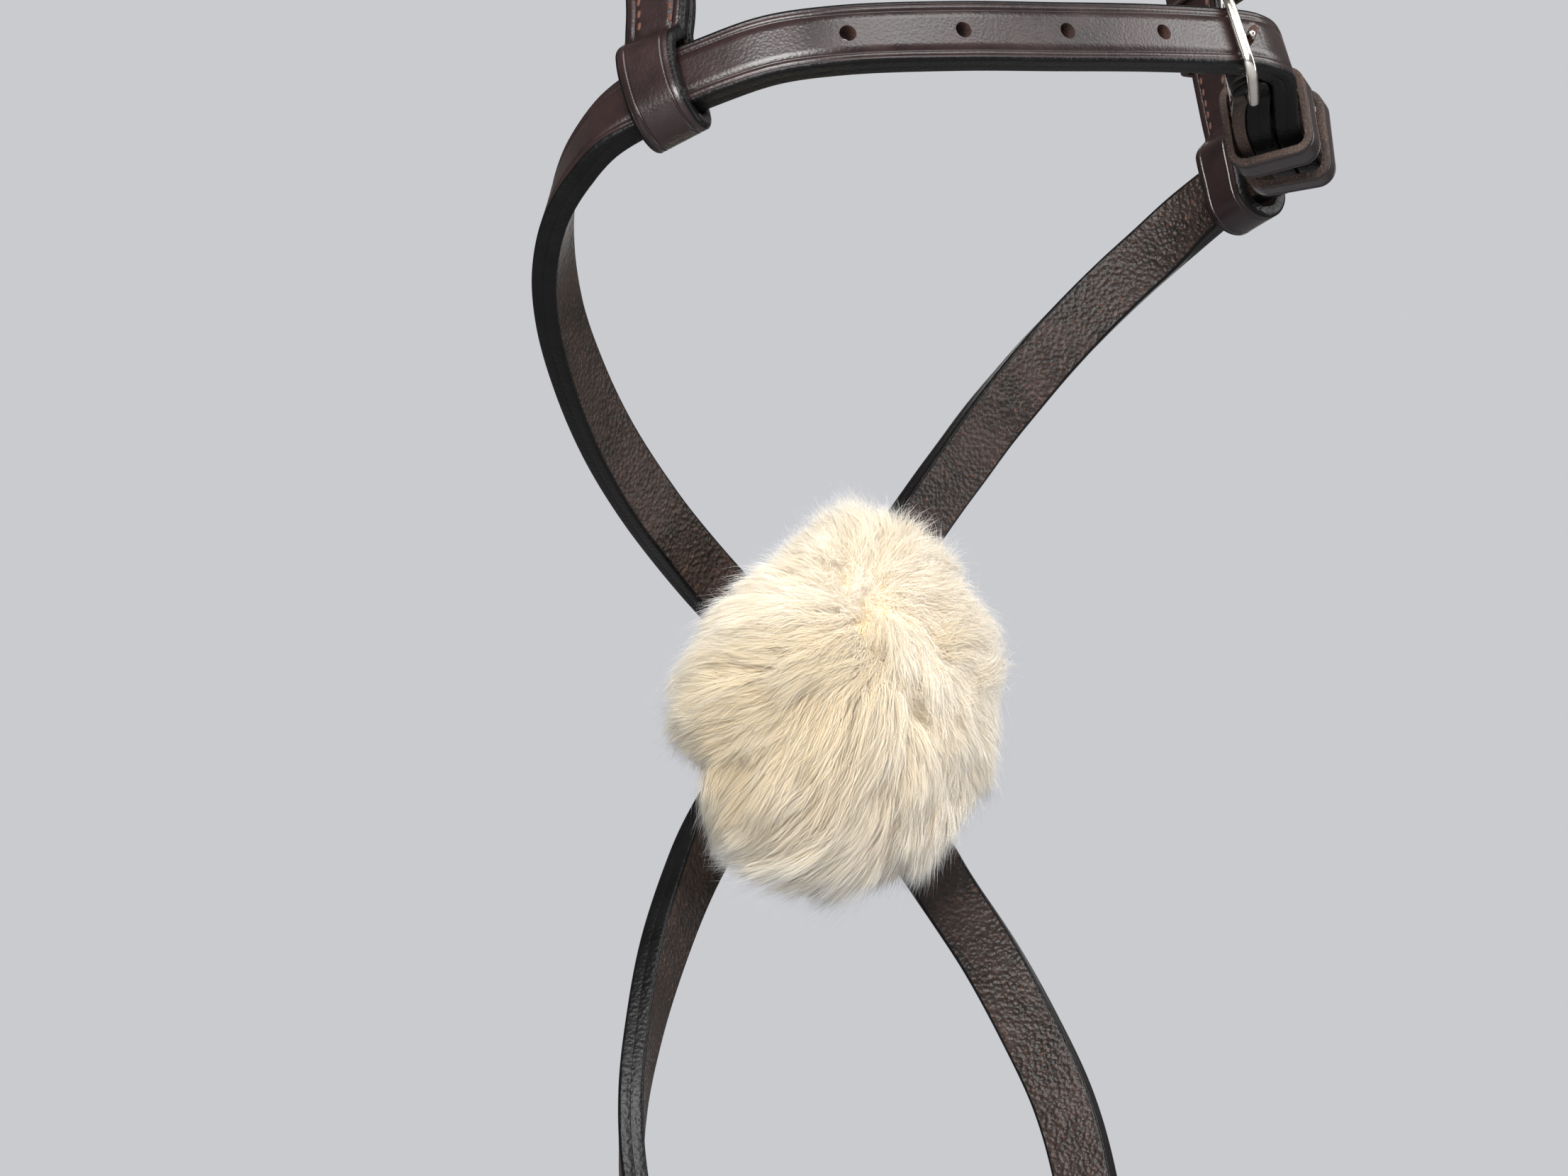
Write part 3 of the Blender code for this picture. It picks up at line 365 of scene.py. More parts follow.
upper_one, upper_two = (stations(rows, CHEEK_RISE) for rows in (UPPER_ONE_SHARES, UPPER_TWO_SHARES))
lower_one, lower_two = (stations(rows, CHIN_DROP) for rows in (LOWER_ONE_SHARES, LOWER_TWO_SHARES))
upper_hole = upper_two[UPPER_TWO_SHARES.index(TONGUE_TWO_SHARES)]
lower_hole = lower_one[LOWER_ONE_SHARES.index(TONGUE_ONE_SHARES)]
upper_pose = buckle_pose(Route(upper_two), upper_hole, -1)
lower_pose = buckle_pose(Route(lower_one), lower_hole, 1)
start_one = chape_start(upper_pose, upper_one[0][:3]) + upper_one
start_two = chape_start(lower_pose, lower_two[-1][:3]) + lower_two[::-1]
tail_two, tail_one = tail_stations(Route(start_one)), tail_stations(Route(start_two))
cross_one = crossing_stations(upper_one[-1], lower_one[0], CROSSING_OFFSET)
cross_two = crossing_stations(lower_two[0], upper_two[-1], -CROSSING_OFFSET)
strap_one = Route(start_one + cross_one + lower_one + tail_one)
strap_two = Route(start_two + cross_two + upper_two[::-1] + tail_two)


# Bridle leather: cowhide tanned with bark, dyed dark brown and dressed with wax. The grain side
# has a satin sheen over fine pores, the cut edges are inked black and burnished, and the flesh
# side is pebbled and duller, with rusty specks on its raised pebbles: partly fibre where the dye
# has thinned by rubbing, partly painted glints.
CLOUD_SPACING = 0.011
BURNISH_SPACING = 0.0009
PEBBLE_SPACING = 0.00105
# Real pores and cut fibres are about a third of this: they are drawn as coarse as they need to show
PORE_SPACING = 0.00065
FIBRE_SPACING = 0.0006
# The band that most of the cloudy noise falls in, and that of the fine noise where dye thins by rubbing and
# glints are painted
CLOUD_LOW, CLOUD_HIGH = 0.34, 0.66
RUBBED_AND_GLINT_FROM, RUBBED_AND_GLINT_TO = 0.57, 0.72
GLOSS_SPREAD = 0.03
LEATHER_IOR = 1.5


def leather(name, pale, dark, roughness, spacing, relief_depth, gleam=0.35, rubbed_and_glint=None,
            rubbed_and_glint_share=0.5):
    """A leather finish: cloudy dye, a fine relief at the given spacing, and places thinned by rubbing on its
    raised fine noise, which on the flesh side are partly painted glints.
    """
    made, tree = new_material(name)
    place = node(tree, "TexCoord").outputs["Object"]
    cloud = node(tree, "TexNoise",
                 {"Vector": place, "Scale": 1 / CLOUD_SPACING, "Detail": 5.0, "Roughness": 0.65})
    grain = node(tree, "TexNoise",
                 {"Vector": place, "Scale": 1 / spacing, "Detail": 3.0, "Roughness": 0.6})
    cells = node(tree, "TexVoronoi",
                 {"Vector": place, "Scale": 1 / spacing, "Smoothness": 0.5}, feature="SMOOTH_F1")
    clouds = {"Value": cloud, "From Min": CLOUD_LOW, "From Max": CLOUD_HIGH}
    tone = node(tree, "MixRGB", {0: node(tree, "MapRange", clouds), 1: colour(dark), 2: colour(pale)})
    if rubbed_and_glint:
        worn_and_glint = node(tree, "MapRange", {
            "Value": grain, "From Min": RUBBED_AND_GLINT_FROM, "From Max": RUBBED_AND_GLINT_TO, "To Max": rubbed_and_glint_share})
        tone = node(tree, "MixRGB", {0: worn_and_glint, 1: tone, 2: colour(rubbed_and_glint)})
    height = node(tree, "Math", {0: grain, 1: cells}, operation="ADD")
    relief = node(tree, "Bump", {"Height": height, "Distance": relief_depth, "Strength": 1.0})
    gloss = node(tree, "MapRange", {
        **clouds, "To Min": roughness - GLOSS_SPREAD, "To Max": roughness + GLOSS_SPREAD})
    shader = node(tree, "BsdfPrincipled", {
        "Base Color": tone, "Roughness": gloss, "IOR": LEATHER_IOR, "Specular IOR Level": gleam,
        "Normal": relief})
    node(tree, "OutputMaterial", {"Surface": shader})
    return made


grain_leather = leather("waxed_grain_leather", "#241717", "#150D0E", 0.32, PORE_SPACING, 0.000035,
                        gleam=0.36)
edge_leather = leather("inked_leather_edge", "#0E0D0E", "#060606", 0.36, BURNISH_SPACING, 0.00010,
                       gleam=0.12)
# The flesh side's rusty specks: partly dye thinned by rubbing, partly painted glints on its pebbles
flesh_leather = leather("pebbled_flesh_leather", "#2A201C", "#15100D", 0.40, PEBBLE_SPACING, 0.00034,
                        gleam=0.22, rubbed_and_glint="#6B4638", rubbed_and_glint_share=0.35)
# Faces left bare by the knife: fibrous, matt and a lighter brown
raw_leather = leather("raw_cut_leather", "#3C2D26", "#1E1612", 0.72, FIBRE_SPACING, 0.00020,
                      rubbed_and_glint="#6E5042")
# Faces left bare by the punch: the same matt fibre, its brown darkened with painted shade as falls inside a
# hole
punched_leather_painted_shade = leather("punched_hole_leather_painted_shade", "#3C2219", "#180E0A", 0.85, FIBRE_SPACING, 0.00012)


# The two noseband straps: two leathers glued flesh to flesh, creased twice along both sides of
# the grain, edges rounded and inked. The outer leather turns round the buckle's heel bar and back
# under the strap, skived thin at its end. Each strap ends in a point with a row of punched holes.
EDGE_CORNER = 0.0008
FLESH_CORNER = 0.0007
GLUED_CORNER = 0.00004
GLUE_GAP = 0.00001
# Each crease: how far in from the edge, half its width, and its depth
CREASES = ((0.00115, 0.00022, 0.00012), (0.00240, 0.00034, 0.00026))
POINT_LENGTH = 0.012
POINT_END_SHARE = 0.22
POINT_SHARES = (0.15, 0.3, 0.45, 0.6, 0.7, 0.8, 0.88, 0.94, 0.98, 1.0)
TURN_BACK = 0.034
TURN_BACK_END = 0.0004
SKIVE_START_SHARE = 0.7
SKIVE_END_SHARE = 0.4
RING_STEP = 0.0016
TURNED_RINGS = 36
FOLD_RINGS = 20
HOLE_RADIUS = 0.0017
HOLE_FLARE = 0.00012
HOLE_FLARE_DEPTH = 0.0004
HOLE_SIDES = 28
PULLED_HOLE_RADIUS = 0.0012
HOLE_PITCH = 0.0254
UPPER_HOLES = 5
LOWER_HOLES = 6
SLOT_WIDTH = 0.0042
SLOT_DEPTH = 0.0048
RIVET_BORE = 0.0023
FACE_POINT_SHARE = 0.4
SHARP_DEGREES = 50
FULL_TURN = 2 * math.pi


def arc(centre_a, centre_b, radius, start, end, steps):
    """Points of a rounded corner, from one angle to another in quarter turns."""
    turns = np.linspace(start, end, steps + 1) * math.pi / 2
    return [(centre_a + radius * math.cos(t), centre_b + radius * math.sin(t)) for t in turns]


def groove(middle, reach, high, depth):
    """Section points of a groove pressed into a high face, in the finish of that face."""
    fallen = ((1, 0), (0.5, 0.75), (0, 1), (-0.5, 0.75), (-1, 0))
    return [(middle + shift * reach, high - depth * fall, 0) for shift, fall in fallen]


def band_section(half, low, high, corner, low_corner, creases=()):
    """A leather's cross section, across and outward, with a finish for the side after each
    point: 0 on the high face, 1 round its edges, 2 on the low face."""
    rows = [(w, h, 1) for w, h in arc(half - low_corner, low + low_corner, low_corner, -1, 0, 3)]
    rows += [(w, h, 1) for w, h in arc(half - corner, high - corner, corner, 0, 1, 6)]
    rows[-1] = (*rows[-1][:2], 0)
    for inset, reach, depth in creases:
        rows += groove(half - inset, reach, high, depth)
    rows.append((half * FACE_POINT_SHARE, high, 0))
    mirrored = [(-rows[i][0], rows[i][1], rows[i - 1][2] if i else 2) for i in range(len(rows))]
    rows += mirrored[::-1]
    return np.array([row[:2] for row in rows]), [row[2] for row in rows]


def mesh_piece(name, points, faces, slots, finishes):
    """A closed mesh piece with its faces outward, smooth but for its sharp edges."""
    mesh = bpy.data.meshes.new(name)
    mesh.from_pydata(np.array(points).tolist(), [], faces)
    for finish in finishes:
        mesh.materials.append(finish)
    if slots:
        mesh.polygons.foreach_set("material_index", slots)
    made = placed(name, mesh)
    mesh.calc_loop_triangles()
    corners = np.zeros(len(mesh.loop_triangles) * 3, np.int32)
    mesh.loop_triangles.foreach_get("vertices", corners)
    centred = np.array(points) - np.mean(points, axis=0)
    a, b, c = (centred[corners[i::3]] for i in range(3))
    if (np.cross(a, b) * c).sum() < 0:
        mesh.flip_normals()
    smooth(mesh)
    return made


def smooth(mesh, sharp_degrees=SHARP_DEGREES):
    """Shades a mesh smooth but for the edges over an angle."""
    mesh.shade_smooth()
    mesh.set_sharp_from_angle(angle=math.radians(sharp_degrees))


def ring_faces(count, size, base=0, closed=False):
    """Faces between rings of points, with a cap at each end unless the rings close on themselves."""
    faces = []
    for i in range(count if closed else count - 1):
        near, far = base + i * size, base + (i + 1) % count * size
        for k in range(size):
            after = (k + 1) % size
            faces.append((near + k, near + after, far + after, far + k))
    if not closed:
        last = base + (count - 1) * size
        faces += [tuple(range(base, base + size))[::-1], tuple(range(last, last + size))]
    return faces


def sweep(name, rings, zones, finishes, closed=False):
    """A closed body carried through rings of points, with a finish for each lengthwise side."""
    rings = np.array(rings)
    count, size = rings.shape[:2]
    slots = (zones or [0] * size) * (count if closed else count - 1)
    if not closed:
        slots += [1, 1] if zones else [0, 0]
    return mesh_piece(name, rings.reshape(-1, 3), ring_faces(count, size, closed=closed), slots, finishes)


def combine(piece, tool, operation, sharp_degrees=SHARP_DEGREES):
    """Joins a closed body to a piece, or cuts it out of it."""
    change = piece.modifiers.new(operation, "BOOLEAN")
    change.operation = operation
    change.solver = "EXACT"
    change.material_mode = "TRANSFER"
    change.object = tool
    graph = bpy.context.evaluated_depsgraph_get()
    mesh = bpy.data.meshes.new_from_object(piece.evaluated_get(graph))
    piece.modifiers.clear()
    piece.data = mesh
    bpy.data.objects.remove(tool)
    smooth(mesh, sharp_degrees)


def punch(piece, cutters):
    """Cuts closed bodies, each a list of rings, out of a piece."""
    points, faces = [], []
    for rings in cutters:
        faces += ring_faces(len(rings), len(rings[0]), len(points))
        points += [tuple(point) for ring in rings for point in ring]
    combine(piece, mesh_piece("punch", points, faces, None, [punched_leather_painted_shade]), "DIFFERENCE")


def rim(axis, sides):
    """Unit spokes round an axis."""
    axis = unit(axis)
    first = square_to(np.array((axis[1], axis[2], axis[0])) + UP * (abs(axis[2]) < 0.5), axis)
    second = np.cross(axis, first)
    turns = np.linspace(0, FULL_TURN, sides, endpoint=False)
    return np.array([first * math.cos(t) + second * math.sin(t) for t in turns])


def peg(centre, axis, radius, half_length, flare=0.0):
    """Rings of a round cutter, wider where it meets the strap's faces if the hole is flared."""
    face = STRAP_THICKNESS / 2
    levels = ((half_length, radius + 4 * flare), (face, radius + flare),
              (face - HOLE_FLARE_DEPTH, radius))
    spokes = rim(axis, HOLE_SIDES)
    rings = [centre - unit(axis) * level + spokes * size for level, size in levels]
    return rings + [centre + unit(axis) * level + spokes * size for level, size in levels[::-1]]


def block(centre, axes, halves):
    """Rings of a square cutter."""
    corners = ((-1, -1), (1, -1), (1, 1), (-1, 1))
    return [[centre + axes[0] * side * halves[0] + axes[1] * a * halves[1] + axes[2] * b * halves[2]
             for a, b in corners] for side in (-1, 1)]


def strap_end(route):
    """Distances of the rings along a strap's pointed end."""
    return [route.length - POINT_LENGTH * (1 - share) for share in POINT_SHARES]


def strap_rings(route, start, section):
    """Rings along a strap, which narrows to a point at its free end."""
    body = np.linspace(start, route.length - POINT_LENGTH, int(route.length / RING_STEP))
    rings = []
    for distance in list(body) + strap_end(route):
        centre, along, outward, across = route.at(distance)
        left = min(1, (route.length - distance) / POINT_LENGTH)
        narrow = POINT_END_SHARE + (1 - POINT_END_SHARE) * math.sin(left * math.pi / 2)
        rings.append([centre + across * w * narrow + outward * h for w, h in section])
    return rings


def turned_back_rings(route, heel, section, middle):
    """Rings of the outer leather from its skived tail, under the strap and round the heel bar."""
    flat = section - (0, middle)
    rings = []
    for distance in np.linspace(TURN_BACK, TURN_BACK_END, TURNED_RINGS):
        centre, along, outward, across = route.at(distance)
        inner = centre + outward * (middle - 2 * FOLD_RADIUS)
        skived = max(0, distance / TURN_BACK - SKIVE_START_SHARE) / (1 - SKIVE_START_SHARE)
        skive = 1 - (1 - SKIVE_END_SHARE) * skived
        rings.append([inner + across * w - outward * (h if h > 0 else h * skive) for w, h in flat])
    centre, along, outward, across = route.at(0)
    for angle in np.linspace(0, math.pi, FOLD_RINGS + 2)[1:-1]:
        spoke = -outward * math.cos(angle) - along * math.sin(angle)
        rings.append([heel + spoke * (FOLD_RADIUS + h) + across * w for w, h in flat])
    return rings


def strap(name, route, pose, engaged, count):
    """Both leathers of one strap, with the tongue's slot, the holes and the rivet's bore."""
    high = LEATHER + GLUE_LINE / 2
    section, zones = band_section(STRAP_WIDTH / 2, GLUE_GAP, high, EDGE_CORNER, GLUED_CORNER, CREASES)
    rings = turned_back_rings(route, pose["heel"], section, (high + GLUE_LINE / 2) / 2)
    rings += strap_rings(route, 0, section)
    outer = sweep(name + "_outer_leather", rings, zones, [grain_leather, edge_leather, raw_leather])
    for side in outer.data.polygons[:TURNED_RINGS * len(section)]:
        side.material_index += side.material_index == 1
    section, zones = band_section(STRAP_WIDTH / 2, GLUE_GAP, high, FLESH_CORNER, GLUED_CORNER)
    start = WIRE_RADIUS + FOLD_CLEARANCE + LEATHER / 2
    rings = strap_rings(route, start, section * (1, -1))
    lining = sweep(name + "_lining_leather", rings, zones, [flesh_leather, edge_leather, raw_leather])
    cutters = []
    for k in range(-1, count):
        if k:
            centre, along, outward, across = route.at(engaged - k * HOLE_PITCH)
            cutters.append(peg(centre, outward, HOLE_RADIUS, STRAP_THICKNESS, HOLE_FLARE))
    centre, along, outward, across = route.at(engaged)
    pulled = centre + outward * STRAP_THICKNESS / 2 - pose["pin"] * STRAP_THICKNESS / 2
    cutters.append(peg(pulled, pose["pin"], PULLED_HOLE_RADIUS, STRAP_THICKNESS))
    cutters.append(peg(np.zeros(3), FORWARD, RIVET_BORE, 2 * STRAP_THICKNESS))
    centre, along, outward, across = route.at(0)
    middle = pose["heel"] + along * (SLOT_DEPTH - FOLD_RADIUS - LEATHER) / 2
    depth = (SLOT_DEPTH + FOLD_RADIUS + LEATHER) / 2
    cutters.append(block(middle, (along, across, outward), (depth, SLOT_WIDTH / 2, 2 * FOLD_RADIUS)))
    for piece, layer, slot in ((outer, "_outer", "grain_leather"), (lining, "_lining", "flesh_leather")):
        punch(piece, cutters)
        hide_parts(name + layer)
        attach(piece, "noseband")


strap("strap_one", strap_one, upper_pose, strap_one.nearest(lower_hole), LOWER_HOLES)
strap("strap_two", strap_two, lower_pose, strap_two.nearest(upper_hole), UPPER_HOLES)


# Saddle stitching: linen thread waxed reddish brown, sewn by hand with two needles, so that each
# face shows a row of short slanted stitches. Here it holds each buckle end's turned-back leather.
STITCH_PITCH = 0.0029
STITCH_LENGTH = 0.0024
STITCH_THICKNESS = 0.00090
STITCH_SLANT = math.radians(11)
STITCH_INSET = 0.0034
STITCH_SINK_SHARE = 0.10
STITCH_RINGS = 7
STITCH_SIDES = 8
STITCH_END_SHARE = 0.04
STITCH_SAG_SHARE = 0.45
STITCH_FLATTEN = 0.8
PLY_SPACING = 0.0005
CHAPE_STITCH_START = 0.0085
CHAPE_STITCH_END = 0.0300


def speckled_with_painted_shade(name, spacing, detail, dark, pale, relief_depth, surface):
    """A finish whose tone and fine relief both follow one noise at the given spacing, so that its low places
    are darker: painted shade.
    """
    made, tree = new_material(name)
    place = node(tree, "TexCoord").outputs["Object"]
    speck_and_shade = node(tree, "TexNoise", {"Vector": place, "Scale": 1 / spacing, "Detail": detail})
    tone = node(tree, "MixRGB", {0: speck_and_shade, 1: colour(dark), 2: colour(pale)})
    relief = node(tree, "Bump", {"Height": speck_and_shade, "Distance": relief_depth})
    shader = node(tree, "BsdfPrincipled", {"Base Color": tone, "IOR": 1.5, "Normal": relief, **surface})
    node(tree, "OutputMaterial", {"Surface": shader})
    return made


# Twisted linen drawn through wax: dull, with the fine slanting shadows of its plies
thread = speckled_with_painted_shade("waxed_linen_thread", PLY_SPACING, 3.0, "#2C1812", "#543428", 0.00012,
                  {"Roughness": 0.65, "Specular IOR Level": 0.25})


def stitching(name, rows, body):
    """Stitches as one piece. A row is a list of places, each a point, the row's direction there
    and the side that the leather faces."""
    points, faces = [], []
    for row in rows:
        for point, along, facing in row:
            faces += ring_faces(STITCH_RINGS, STITCH_SIDES, len(points))
            across = np.cross(along, facing)
            lie = along * math.cos(STITCH_SLANT) + across * math.sin(STITCH_SLANT)
            side = np.cross(facing, lie)
            middle = point - facing * STITCH_THICKNESS * STITCH_SINK_SHARE
            for share in np.linspace(-1, 1, STITCH_RINGS):
                swell = math.sqrt(max(STITCH_END_SHARE, 1 - abs(share) ** 3)) * STITCH_THICKNESS / 2
                sag = -facing * share ** 4 * STITCH_THICKNESS * STITCH_SAG_SHARE
                for turn in np.arange(STITCH_SIDES) * FULL_TURN / STITCH_SIDES:
                    spoke = side * math.cos(turn) + facing * math.sin(turn) * STITCH_FLATTEN
                    points.append(middle + lie * share * STITCH_LENGTH / 2 + sag + spoke * swell)
    piece = mesh_piece(name, points, faces, None, [thread])
    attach(piece, body)


for name, route in (("upper", strap_one), ("lower", strap_two)):
    rows = []
    for edge in (-1, 1):
        for side, height in ((1, LEATHER + GLUE_LINE / 2), (-1, 2 * FOLD_RADIUS - GLUE_LINE / 2)):
            row = []
            for distance in np.arange(CHAPE_STITCH_START, CHAPE_STITCH_END, STITCH_PITCH):
                centre, along, outward, across = route.at(distance)
                spot = centre + across * edge * (STRAP_WIDTH / 2 - STITCH_INSET) + outward * side * height
                row.append((spot, along, outward * side))
            rows.append(row)
    stitching(name + "_chape_stitches", rows, "noseband")


# The chin buckles: nickel plated wire frames with a slightly flattened section, and tongues of
# round wire whose eye is closed round the heel bar. The plate is polished, with fine rub marks.
BUCKLE_CORNER = 0.0034
HEEL_CORNER = 0.0014
BUCKLE_SIDE_CLEARANCE = 0.0012
FRAME_SIDES = 24
FRAME_SQUARENESS = 2.7
TONGUE_RADIUS = 0.00095
TONGUE_SIDES = 20
TONGUE_SHARP_DEGREES = 40
TIP_ROUNDING = (0.94, 8)
TONGUE_EYE_WALL = 0.0009
TONGUE_EYE_WIDTH = 0.0030
EYE_RINGS = 40
EYE_CORNER_SHARE = 0.7
# Real polishing marks are finer than a tenth of this: they are drawn as coarse as they need to show
RUB_SPACING = 0.0004
HAZE_SPACING = 0.004

nickel, tree = new_material("polished_nickel_plate")
place = node(tree, "TexCoord").outputs["Object"]
rubs = node(tree, "TexNoise", {"Vector": place, "Scale": 1 / RUB_SPACING, "Detail": 4.0})
haze = node(tree, "TexNoise", {"Vector": place, "Scale": 1 / HAZE_SPACING, "Detail": 4.0})
gloss = node(tree, "MapRange", {"Value": haze, "To Min": 0.10, "To Max": 0.26})
tone = node(tree, "MixRGB", {0: haze, 1: colour("#CFC9C0"), 2: colour("#E4DFD7")})
relief = node(tree, "Bump", {"Height": rubs, "Distance": 0.00001})
shader = node(tree, "BsdfPrincipled", {
    "Base Color": tone, "Metallic": 1.0, "Roughness": gloss, "Normal": relief})
node(tree, "OutputMaterial", {"Surface": shader})


def rounded_rectangle(low_a, high_a, low_b, high_b, low_corner, high_corner, steps=10):
    """Outline points, anticlockwise, with each corner an arc. The low corners are those at the
    low end of the first direction."""
    outline = arc(high_a - high_corner, high_b - high_corner, high_corner, 0, 1, steps)
    outline += arc(low_a + low_corner, high_b - low_corner, low_corner, 1, 2, steps)
    outline += arc(low_a + low_corner, low_b + low_corner, low_corner, 2, 3, steps)
    return outline + arc(high_a - high_corner, low_b + high_corner, high_corner, 3, 4, steps)


def closed_path(outline, centre, first, second):
    """Points and outward normals of a flat closed outline in the plane of two directions."""
    flat = np.array(outline)
    course = unit(unit(np.roll(flat, -1, axis=0) - flat) + unit(flat - np.roll(flat, 1, axis=0)))
    return [centre + first * a + second * b for a, b in flat], [first * b - second * a for a, b in course]


def wire(radius, sides, squareness=2.0):
    """A wire's section. A squareness over 2 flattens its faces, so that a polished bar shows
    two lines of light."""
    turns = np.arange(sides) * FULL_TURN / sides
    return [tuple(radius * math.copysign(abs(s) ** (2 / squareness), s) for s in (math.cos(t), math.sin(t)))
            for t in turns]


def ring_piece(name, path, normals, across, section, zones, finishes):
    """A section carried round a closed path: its first direction is across, its second outward."""
    rings = [[point + across * w + normal * h for w, h in section] for point, normal in zip(path, normals)]
    return sweep(name, rings, zones, finishes, closed=True)


def buckle(name, heel, ahead, across):
    """A buckle frame, its heel bar at the given place and its outer bar ahead of it."""
    half = STRAP_WIDTH / 2 + BUCKLE_SIDE_CLEARANCE + WIRE_RADIUS
    outline = rounded_rectangle(0, BUCKLE_LENGTH, -half, half, HEEL_CORNER, BUCKLE_CORNER)
    path, normals = closed_path(outline, heel, ahead, across)
    section = [(w, h) for h, w in wire(WIRE_RADIUS, FRAME_SIDES, FRAME_SQUARENESS)]
    piece = ring_piece(name + "_wire", path, normals, np.cross(ahead, across), section, None, [nickel])
    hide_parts(name)
    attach(piece, name)


def tongue(name, heel, pin_direction, across, length):
    """A buckle tongue: an eye round the heel bar, and a pin with a rounded end."""
    eye_radius = WIRE_RADIUS + BAR_GAP + TONGUE_EYE_WALL / 2
    lift = np.cross(pin_direction, across)
    turns = np.arange(EYE_RINGS) * FULL_TURN / EYE_RINGS
    normals = [pin_direction * math.cos(t) + lift * math.sin(t) for t in turns]
    half, wall = TONGUE_EYE_WIDTH / 2, TONGUE_EYE_WALL / 2
    corner = wall * EYE_CORNER_SHARE
    outline = rounded_rectangle(-half, half, -wall, wall, corner, corner, steps=3)
    path = [heel + normal * eye_radius for normal in normals]
    piece = ring_piece(name + "_wire", path, normals, across, outline, None, [nickel])
    spokes = np.array([across * w + lift * h for w, h in wire(TONGUE_RADIUS, TONGUE_SIDES)])
    rings = [heel + pin_direction * eye_radius + spokes]
    for turn in np.linspace(0, *TIP_ROUNDING) * math.pi / 2:
        reach = length - TONGUE_RADIUS * (1 - math.sin(turn))
        rings.append(heel + pin_direction * reach + spokes * math.cos(turn))
    combine(piece, sweep("pin", rings, None, [nickel]), "UNION", TONGUE_SHARP_DEGREES)
    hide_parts(name)
    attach(piece, name)


for side, pose in (("upper", upper_pose), ("lower", lower_pose)):
    buckle(side + "_buckle_frame", pose["heel"], pose["ahead"], pose["across"])
    tongue(side + "_tongue", pose["heel"], pose["pin"], pose["across"], pose["pin_length"])


# The chin keepers and runners: bands of the same leather round the strap and the billet on it,
# cut edges left raw and brown, creased along both sides. Their ends are butted and sewn behind,
# but each is drawn as one closed band, without that seam.
KEEPER_WALL = 0.0018
KEEPER_WIDTH = 0.0080
KEEPER_CORNER = 0.0034
KEEPER_CLEARANCE = 0.0009
KEEPER_EDGE_ROOM = 0.0018
KEEPER_FROM_HEEL = 0.0235
RUNNER_FROM_HEEL = 0.0385
KEEPER_CREASES = ((0.00120, 0.00022, 0.00014),)
KEEPER_EDGE_CORNER = 0.00045

chin_low = GLUE_LINE / 2 - 2 * FOLD_RADIUS - KEEPER_CLEARANCE
chin_high = STRAP_THICKNESS + LAY_GAP + STRAP_THICKNESS / 2 + KEEPER_CLEARANCE
chin_half = STRAP_WIDTH / 2 + KEEPER_EDGE_ROOM


def keeper(name, body, centre, across, outward, along, low, high, half, corner):
    """A leather band round a strap, from low to high outward and half as wide again across."""
    wall = KEEPER_WALL / 2
    outline = rounded_rectangle(-half - wall, half + wall, low - wall, high + wall, corner, corner)
    path, normals = closed_path(outline, centre, across, outward)
    section, zones = band_section(
        KEEPER_WIDTH / 2, -wall, wall, KEEPER_EDGE_CORNER, KEEPER_EDGE_CORNER / 2, KEEPER_CREASES)
    finishes = [grain_leather, raw_leather, flesh_leather]
    piece = ring_piece(name + "_band", path, normals, along, section, zones, finishes)
    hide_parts(name)
    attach(piece, body)


for side, route in (("upper", strap_one), ("lower", strap_two)):
    for name, body, distance in ((side + "_fixed_keeper", "noseband", KEEPER_FROM_HEEL),
                                 (side + "_runner", side + "_runner", RUNNER_FROM_HEEL)):
        centre, along, outward, across = route.at(distance)
        keeper(name, body, centre, across, outward, along, chin_low, chin_high, chin_half, KEEPER_CORNER)


# The cheek hangers: one strip of leather each, looped round the noseband strap, its two ends
# drawn together above the loop, sewn, and folded round the heel bar of a buckle for the cheekpiece.
POLL_HEIGHT = 1.100
POLL_FORWARD = 0.150
HANGER_WIDTH = 0.0140
HANGER_LEATHER = 0.0030
HANGER_RISE = 0.066
HANGER_NECK = 0.0125
HANGER_TAPER_SHARES = (2, 4)
HANGER_SEAM_LENGTH = 0.008
HANGER_LOOP_WIDTH = 0.0126
BEND_POINTS = 9
EASED_STEPS = 6
LOOP_SIDE_ROOM = 0.0018
LOOP_END_ROOM = 0.0020
BILLET_ROOM = 0.0062
HANGER_KEEPER_DROP = 0.015
HANGER_RUNNER_DROP = 0.032
HANGER_KEEPER_CORNER = 0.0013
HANGER_CREASES = ((0.00110, 0.00020, 0.00010), (0.00260, 0.00034, 0.00026))
HANGER_EDGE_CORNER = 0.0011
HANGER_STITCH_START = 0.0150
HANGER_STITCH_END = 0.0450
TONGUE_PIN_ROOM = WIRE_RADIUS + BAR_GAP + TONGUE_RADIUS


